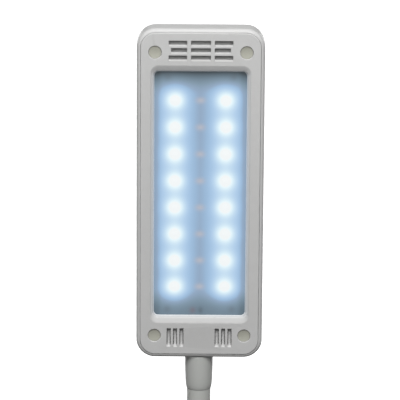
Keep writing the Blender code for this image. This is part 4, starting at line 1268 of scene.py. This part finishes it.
# ---------------------------------------------------------------- buttons
for x, y, node in BUTTONS:
    bm = bmesh.new()
    z = CZ1
    r = BUTTON_R - 0.02
    profile = [(0, z + 0.42), (2.0, z + 0.44), (3.4, z + 0.55), (4.3, z + 0.74)]
    profile += [(r - 1.0 + 0.0, z + 0.92), (r - 0.7, z + 0.95), (r - 0.4, z + 0.88), (r - 0.15, z + 0.7), (r - 0.02, z + 0.42), (r, z + 0.1)]
    profile += [(r, z - 2.3), (7.2, z - 2.3), (7.2, z - 3.3), (2.0, z - 3.3), (2.0, 16.0), (0, 16.0)]
    turned(bm, profile, 56, Matrix.Translation((x, y, 0)))
    obj = to_object(bm, node + "_cap", BUTTON, 40)
    piece(obj, node, [node])

# ---------------------------------------------------------------- lower jaw lever
HANDLE_ANGLE = 33.0
D = Vector((0, math.cos(math.radians(HANDLE_ANGLE)), -math.sin(math.radians(HANDLE_ANGLE))))
N = Vector((0, -D.z, D.y))
pad_lo, pad_hi = (mm(v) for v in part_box("lower_jaw_pad"))
JAW_Z1 = pad_lo.z - 0.3
JAW_Z0 = JAW_Z1 - 3.0
LEVER_X = lever_hi.x
HL = 47.0


def on_handle(s, n):
    p = PIVOT + D * s + N * n
    return (p.y, p.z)


bm = bmesh.new()
ly0, ly1 = lever_lo.y, PY - 10.0
rings = []
for inset, z in ((0.3, JAW_Z1), (0.03, JAW_Z1 - 0.14), (0, JAW_Z1 - 0.35), (0, JAW_Z0 + 0.9), (0.08, JAW_Z0 + 0.5), (0.28, JAW_Z0 + 0.2), (0.6, JAW_Z0 + 0.04), (0.95, JAW_Z0)):
    rings.append(
        [Vector((x, (ly0 + ly1) / 2 + v, z)) for x, v in rounded(2 * (LEVER_X - inset), ly1 - ly0 - 2 * inset, 6 - inset, 10)]
    )
loft(bm, rings)
lever = to_object(bm, "lever_moulding", HOUSING, 40)
bm = bmesh.new()
rings = []
for inset, n in ((0.4, 1.75), (0.05, 1.6), (0, 1.35), (0, -0.9), (0.08, -1.3), (0.35, -1.62), (0.8, -1.75)):
    ring = []
    for x, v in rounded(2 * (LEVER_X - inset), 39.0 - 2 * inset, 6 - inset, 10):
        y, z = on_handle(HL - 19.5 + v, n)
        ring.append(Vector((x, y, z)))
    rings.append(ring)
loft(bm, rings)
adds = [to_object(bm, "handle", None)]
boss = [(PY + a, PZ + b) for a, b in arc(0, 0, 5.4, 125, 17, 18)]
web = (
    [(ly0 + 3.0, JAW_Z0 + 1.0), (ly1 - 4.0, JAW_Z0 + 1.0), (ly1 - 0.5, JAW_Z1 - 0.3)]
    + boss
    + [
        on_handle(8.5, 0.8),
        on_handle(HL - 3, 0.0),
        on_handle(HL - 3, -3.6),
        on_handle(6.0, -7.2),
        (PY - 2.0, PZ - 6.4),
        (ly1 - 4.0, JAW_Z0 - 5.2),
        (ly0 + 3.0, JAW_Z0 - 1.6),
    ]
)
for s in (-1, 1):
    adds.append(plate_with_fillet(web, min(s * 17.0, s * 20.5), max(s * 17.0, s * 20.5), 0.45))
# grip ribs across the handle's outer face
ribs = bmesh.new()
for i in range(6):
    s0 = 20.0 + 3.6 * i
    outline = [on_handle(s0 + a, -1.2 - b) for a, b in [(-0.8, 0), (-0.72, 0.7), (-0.5, 0.98), (0, 1.1), (0.5, 0.98), (0.72, 0.7), (0.8, 0)]]
    prism(ribs, outline, "x", -14.0, 14.0)
adds.append(to_object(ribs, "ribs", None))
combine(lever, "UNION", adds, 40)
bm = bmesh.new()
turned(bm, [(0, -24), (1.8, -24), (1.8, 24), (0, 24)], 24, along_x(0, PY, PZ))
combine(lever, "DIFFERENCE", [to_object(bm, "cut", None)], 40)
weight_normals(lever)
piece(lever, "lower_jaw", ["lower_jaw_lever"])

# ---------------------------------------------------------------- pin, ring, spring
pin_lo, pin_hi = (mm(v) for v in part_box("pivot_pin"))
bm = bmesh.new()
x0, x1 = pin_lo.x, pin_hi.x
turned(
    bm,
    [(0, x0), (1.6, x0 + 0.05), (2.4, x0 + 0.25), (2.8, x0 + 0.6), (2.9, x0 + 0.95), (2.9, x0 + 1.3), (1.5, x0 + 1.3)]
    + [(1.5, x1 - 1.1), (1.25, x1 - 1.0), (1.25, x1 - 0.8), (1.5, x1 - 0.7), (1.5, x1 - 0.4), (1.2, x1 - 0.05), (0, x1)],
    32,
    along_x(0, PY, PZ),
)
piece(to_object(bm, "pivot_pin_turned", STEEL, 40), "clip_base", ["pivot_pin"])
ring_lo, ring_hi = (mm(v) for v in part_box("pivot_retaining_ring"))
bm = bmesh.new()
teeth = 6
outer, inner = [], []
for i in range(72):
    a = 2 * math.pi * i / 72
    tooth = 1.56 if (i * teeth // 72) % 1 == 0 and (i % 12) < 8 else 2.15
    outer.append((3.2 * math.cos(a), 3.2 * math.sin(a)))
    inner.append((tooth * math.cos(a), tooth * math.sin(a)))
loft(
    bm,
    [[Vector((x, PY + p, PZ + q)) for p, q in ring] for x, ring in
     ((ring_lo.x + 0.2, outer), (ring_lo.x + 0.55, outer), (ring_lo.x + 0.75, inner), (ring_lo.x + 0.4, inner))],
    closed=True,
)
piece(to_object(bm, "push_on_ring", STEEL, 30), "clip_base", ["pivot_retaining_ring"])

WIRE, COIL_MEAN, TURNS, STEPS = 0.8, 4.6, 5, 36
COIL_X = (2 * WIRE + 0.35) * TURNS / 2
LEG = 24.0


def spring_point(angle, x):
    return PIVOT + Vector((x, COIL_MEAN * math.sin(angle), COIL_MEAN * math.cos(angle)))


under = PZ0 - 0.3 - WIRE
turn = 2 * math.pi * TURNS - math.radians(90 + HANDLE_ANGLE)
coil = [
    spring_point(-turn * i / (TURNS * STEPS), -COIL_X + 2 * COIL_X * i / (TURNS * STEPS))
    for i in range(TURNS * STEPS + 1)
]
upper = smooth_path(
    [
        (-COIL_X, PY + LEG, under),
        (-COIL_X, PY + LEG * 0.75, under - 1.6),
        (-COIL_X, PY + LEG * 0.5, PZ + COIL_MEAN + 2.6),
        coil[0] + Vector((0, 3.0, 0.35)),
    ],
    5,
)
on_top = 1.75 + 0.3 + WIRE
lower = []
for s, n in ((COIL_MEAN + 0.15, 1.0), (COIL_MEAN + 0.5, 1.9), (COIL_MEAN + 1.2, on_top - 0.25), (COIL_MEAN + 2.4, on_top + 0.15), (LEG * 0.6, on_top + 0.1), (LEG, on_top + 0.05)):
    y, z = on_handle(s, n)
    lower.append(Vector((COIL_X, y, z)))
bm = bmesh.new()
tube(bm, upper + coil + lower, WIRE, 14)
spring = to_object(bm, "torsion_spring_wire", SPRING, 60)
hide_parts("clip_spring")
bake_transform(spring)

# ---------------------------------------------------------------- carried-over CAD nodes get finished materials
for name, obj in NODES.items():
    if obj.hide_render:
        continue
    if name.startswith("neck_coil"):
        mat = COIL
    elif name.startswith(("neck_cable",)):
        mat = CABLE
    elif name == "control_board":
        t = Tree("control_board_mask") if "control_board_mask" not in bpy.data.materials else None
        if t:
            g = t.noise(120.0, 3.0)
            t.link(t.mix(g, (0.01, 0.11, 0.05), (0.015, 0.15, 0.07)), t.bsdf.inputs["Base Color"])
            t.link(t.maths("MULTIPLY_ADD", g, 0.2, 0.25), t.bsdf.inputs["Roughness"])
        mat = bpy.data.materials["control_board_mask"]
    elif name in ("neck_top_nut", "neck_base_nut", "usb_c_port") or "screw" in name:
        mat = STEEL
    else:
        mat = HOUSING
    obj.data.materials.clear()
    obj.data.materials.append(mat)

# the glowing faces are found by rays, not picked as lamps, which keeps the plastic free of speckle
for glowing in bpy.data.materials:
    glowing.cycles.emission_sampling = "NONE"

# ---------------------------------------------------------------- stage, light and camera
scene = bpy.context.scene
# the lamp hangs from its clip, so the floor is well below it and clear of every pose
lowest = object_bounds()[0][2] - 0.30
bm = bmesh.new()
s = 30.0
vs = [bm.verts.new((x, y, lowest - 0.0005)) for x, y in ((-s, -s), (s, -s), (s, s), (-s, s))]
bm.faces.new(vs)
mesh = bpy.data.meshes.new("floor")
bm.to_mesh(mesh)
bm.free()
floor = bpy.data.objects.new("floor", mesh)
scene.collection.objects.link(floor)
t = Tree("pale_floor")
g = t.noise(3.0, 2.0)
t.link(t.mix(g, (0.90, 0.90, 0.90), (0.92, 0.92, 0.92)), t.bsdf.inputs["Base Color"])
t.bsdf.inputs["Roughness"].default_value = 0.9
t.bsdf.inputs["Emission Color"].default_value = (1, 1, 1, 1)
t.bsdf.inputs["Emission Strength"].default_value = 1.2
t.mat.cycles.emission_sampling = "NONE"
mesh.materials.append(t.mat)
floor.visible_diffuse = False
floor.visible_glossy = False
# a round white wall far behind, which only the camera sees
bm = bmesh.new()
base = lowest - 0.0005
sweep = [(14.0, base), (16.0, base + 0.15), (18.0, base + 0.8), (20.0, base + 2.4), (21.0, base + 5.0), (21.0, base + 16.0)]
rings = [[bm.verts.new((q * math.cos(2 * math.pi * i / 48), q * math.sin(2 * math.pi * i / 48), z)) for i in range(48)] for q, z in sweep]
for one, other in zip(rings, rings[1:]):
    for i in range(48):
        bm.faces.new((one[i], other[i], other[(i + 1) % 48], one[(i + 1) % 48]))
mesh = bpy.data.meshes.new("backdrop")
bm.to_mesh(mesh)
bm.free()
mesh.shade_smooth()
mesh.materials.append(floor.data.materials[0])
backdrop = bpy.data.objects.new("backdrop", mesh)
scene.collection.objects.link(backdrop)
for kind in ("diffuse", "glossy", "transmission", "volume_scatter", "shadow"):
    setattr(backdrop, "visible_" + kind, False)

world = bpy.data.worlds.new("studio")
world.use_nodes = True
scene.world = world
nt = world.node_tree
bg = nt.nodes["Background"]
tc = nt.nodes.new("ShaderNodeTexCoord")
sp = nt.nodes.new("ShaderNodeSeparateXYZ")
cr = nt.nodes.new("ShaderNodeValToRGB")
nt.links.new(tc.outputs["Generated"], sp.inputs[0])
mr = nt.nodes.new("ShaderNodeMapRange")
mr.inputs["From Min"].default_value = -1.0
nt.links.new(sp.outputs["Z"], mr.inputs["Value"])
nt.links.new(mr.outputs["Result"], cr.inputs["Fac"])
els = cr.color_ramp.elements
els[0].position, els[0].color = 0.0, (0.06, 0.06, 0.06, 1)
els[1].position, els[1].color = 1.0, (0.30, 0.30, 0.30, 1)
e = els.new(0.5)
e.color = (0.16, 0.16, 0.16, 1)
nt.links.new(cr.outputs["Color"], bg.inputs["Color"])
bg.inputs["Strength"].default_value = 1.0

CENTRE = Vector((0, HEAD_Y0, HEAD_ZC)) * MM


def area(name, at, size, power, target=CENTRE, colour=(1, 1, 1), size_y=None):
    data = bpy.data.lights.new(name, "AREA")
    data.shape = "RECTANGLE"
    data.size, data.size_y = size, size_y or size
    data.energy = power
    data.color = colour
    obj = bpy.data.objects.new(name, data)
    scene.collection.objects.link(obj)
    obj.location = at
    obj.rotation_euler = (Vector(target) - Vector(at)).to_track_quat("-Z", "Y").to_euler()
    return obj


area("key_softbox", (0.0, -0.50, 0.99), 1.3, 8.2, size_y=0.4)
area("front_fill", (0.0, -1.8, 0.35), 0.8, 2.0)
area("top_softbox", (0.0, -0.1, 1.7), 0.6, 3.0, size_y=0.4)
area("back_light_left", (-0.6, 1.3, 0.16), 0.7, 4.5, target=(0, 0.05, 0.24))
area("back_light_right", (0.6, 1.3, 0.16), 0.7, 4.5, target=(0, 0.05, 0.24))
scene.cycles.use_adaptive_sampling = False

DIST, ELEV, FOCAL_PX = 1.284, math.radians(14.0), 2728.5
cam_data = bpy.data.cameras.new("camera")
cam = bpy.data.objects.new("camera", cam_data)
scene.collection.objects.link(cam)
cam.location = CENTRE + DIST * Vector((0, -math.cos(ELEV), math.sin(ELEV)))
look = (CENTRE - cam.location).to_track_quat("-Z", "Y").to_matrix().to_4x4()
cam.matrix_world = Matrix.Translation(cam.location) @ look @ Matrix.Rotation(math.radians(0.39), 4, "Z")
cam_data.sensor_width = 36.0
cam_data.lens = FOCAL_PX / 400.0 * 36.0
cam_data.shift_y = -3.9 / 400.0
cam_data.clip_start, cam_data.clip_end = 0.01, 200.0
scene.camera = cam

scene.view_settings.view_transform = "Standard"
scene.view_settings.look = "None"
scene.view_settings.exposure = 0.0
scene.view_settings.gamma = 1.0
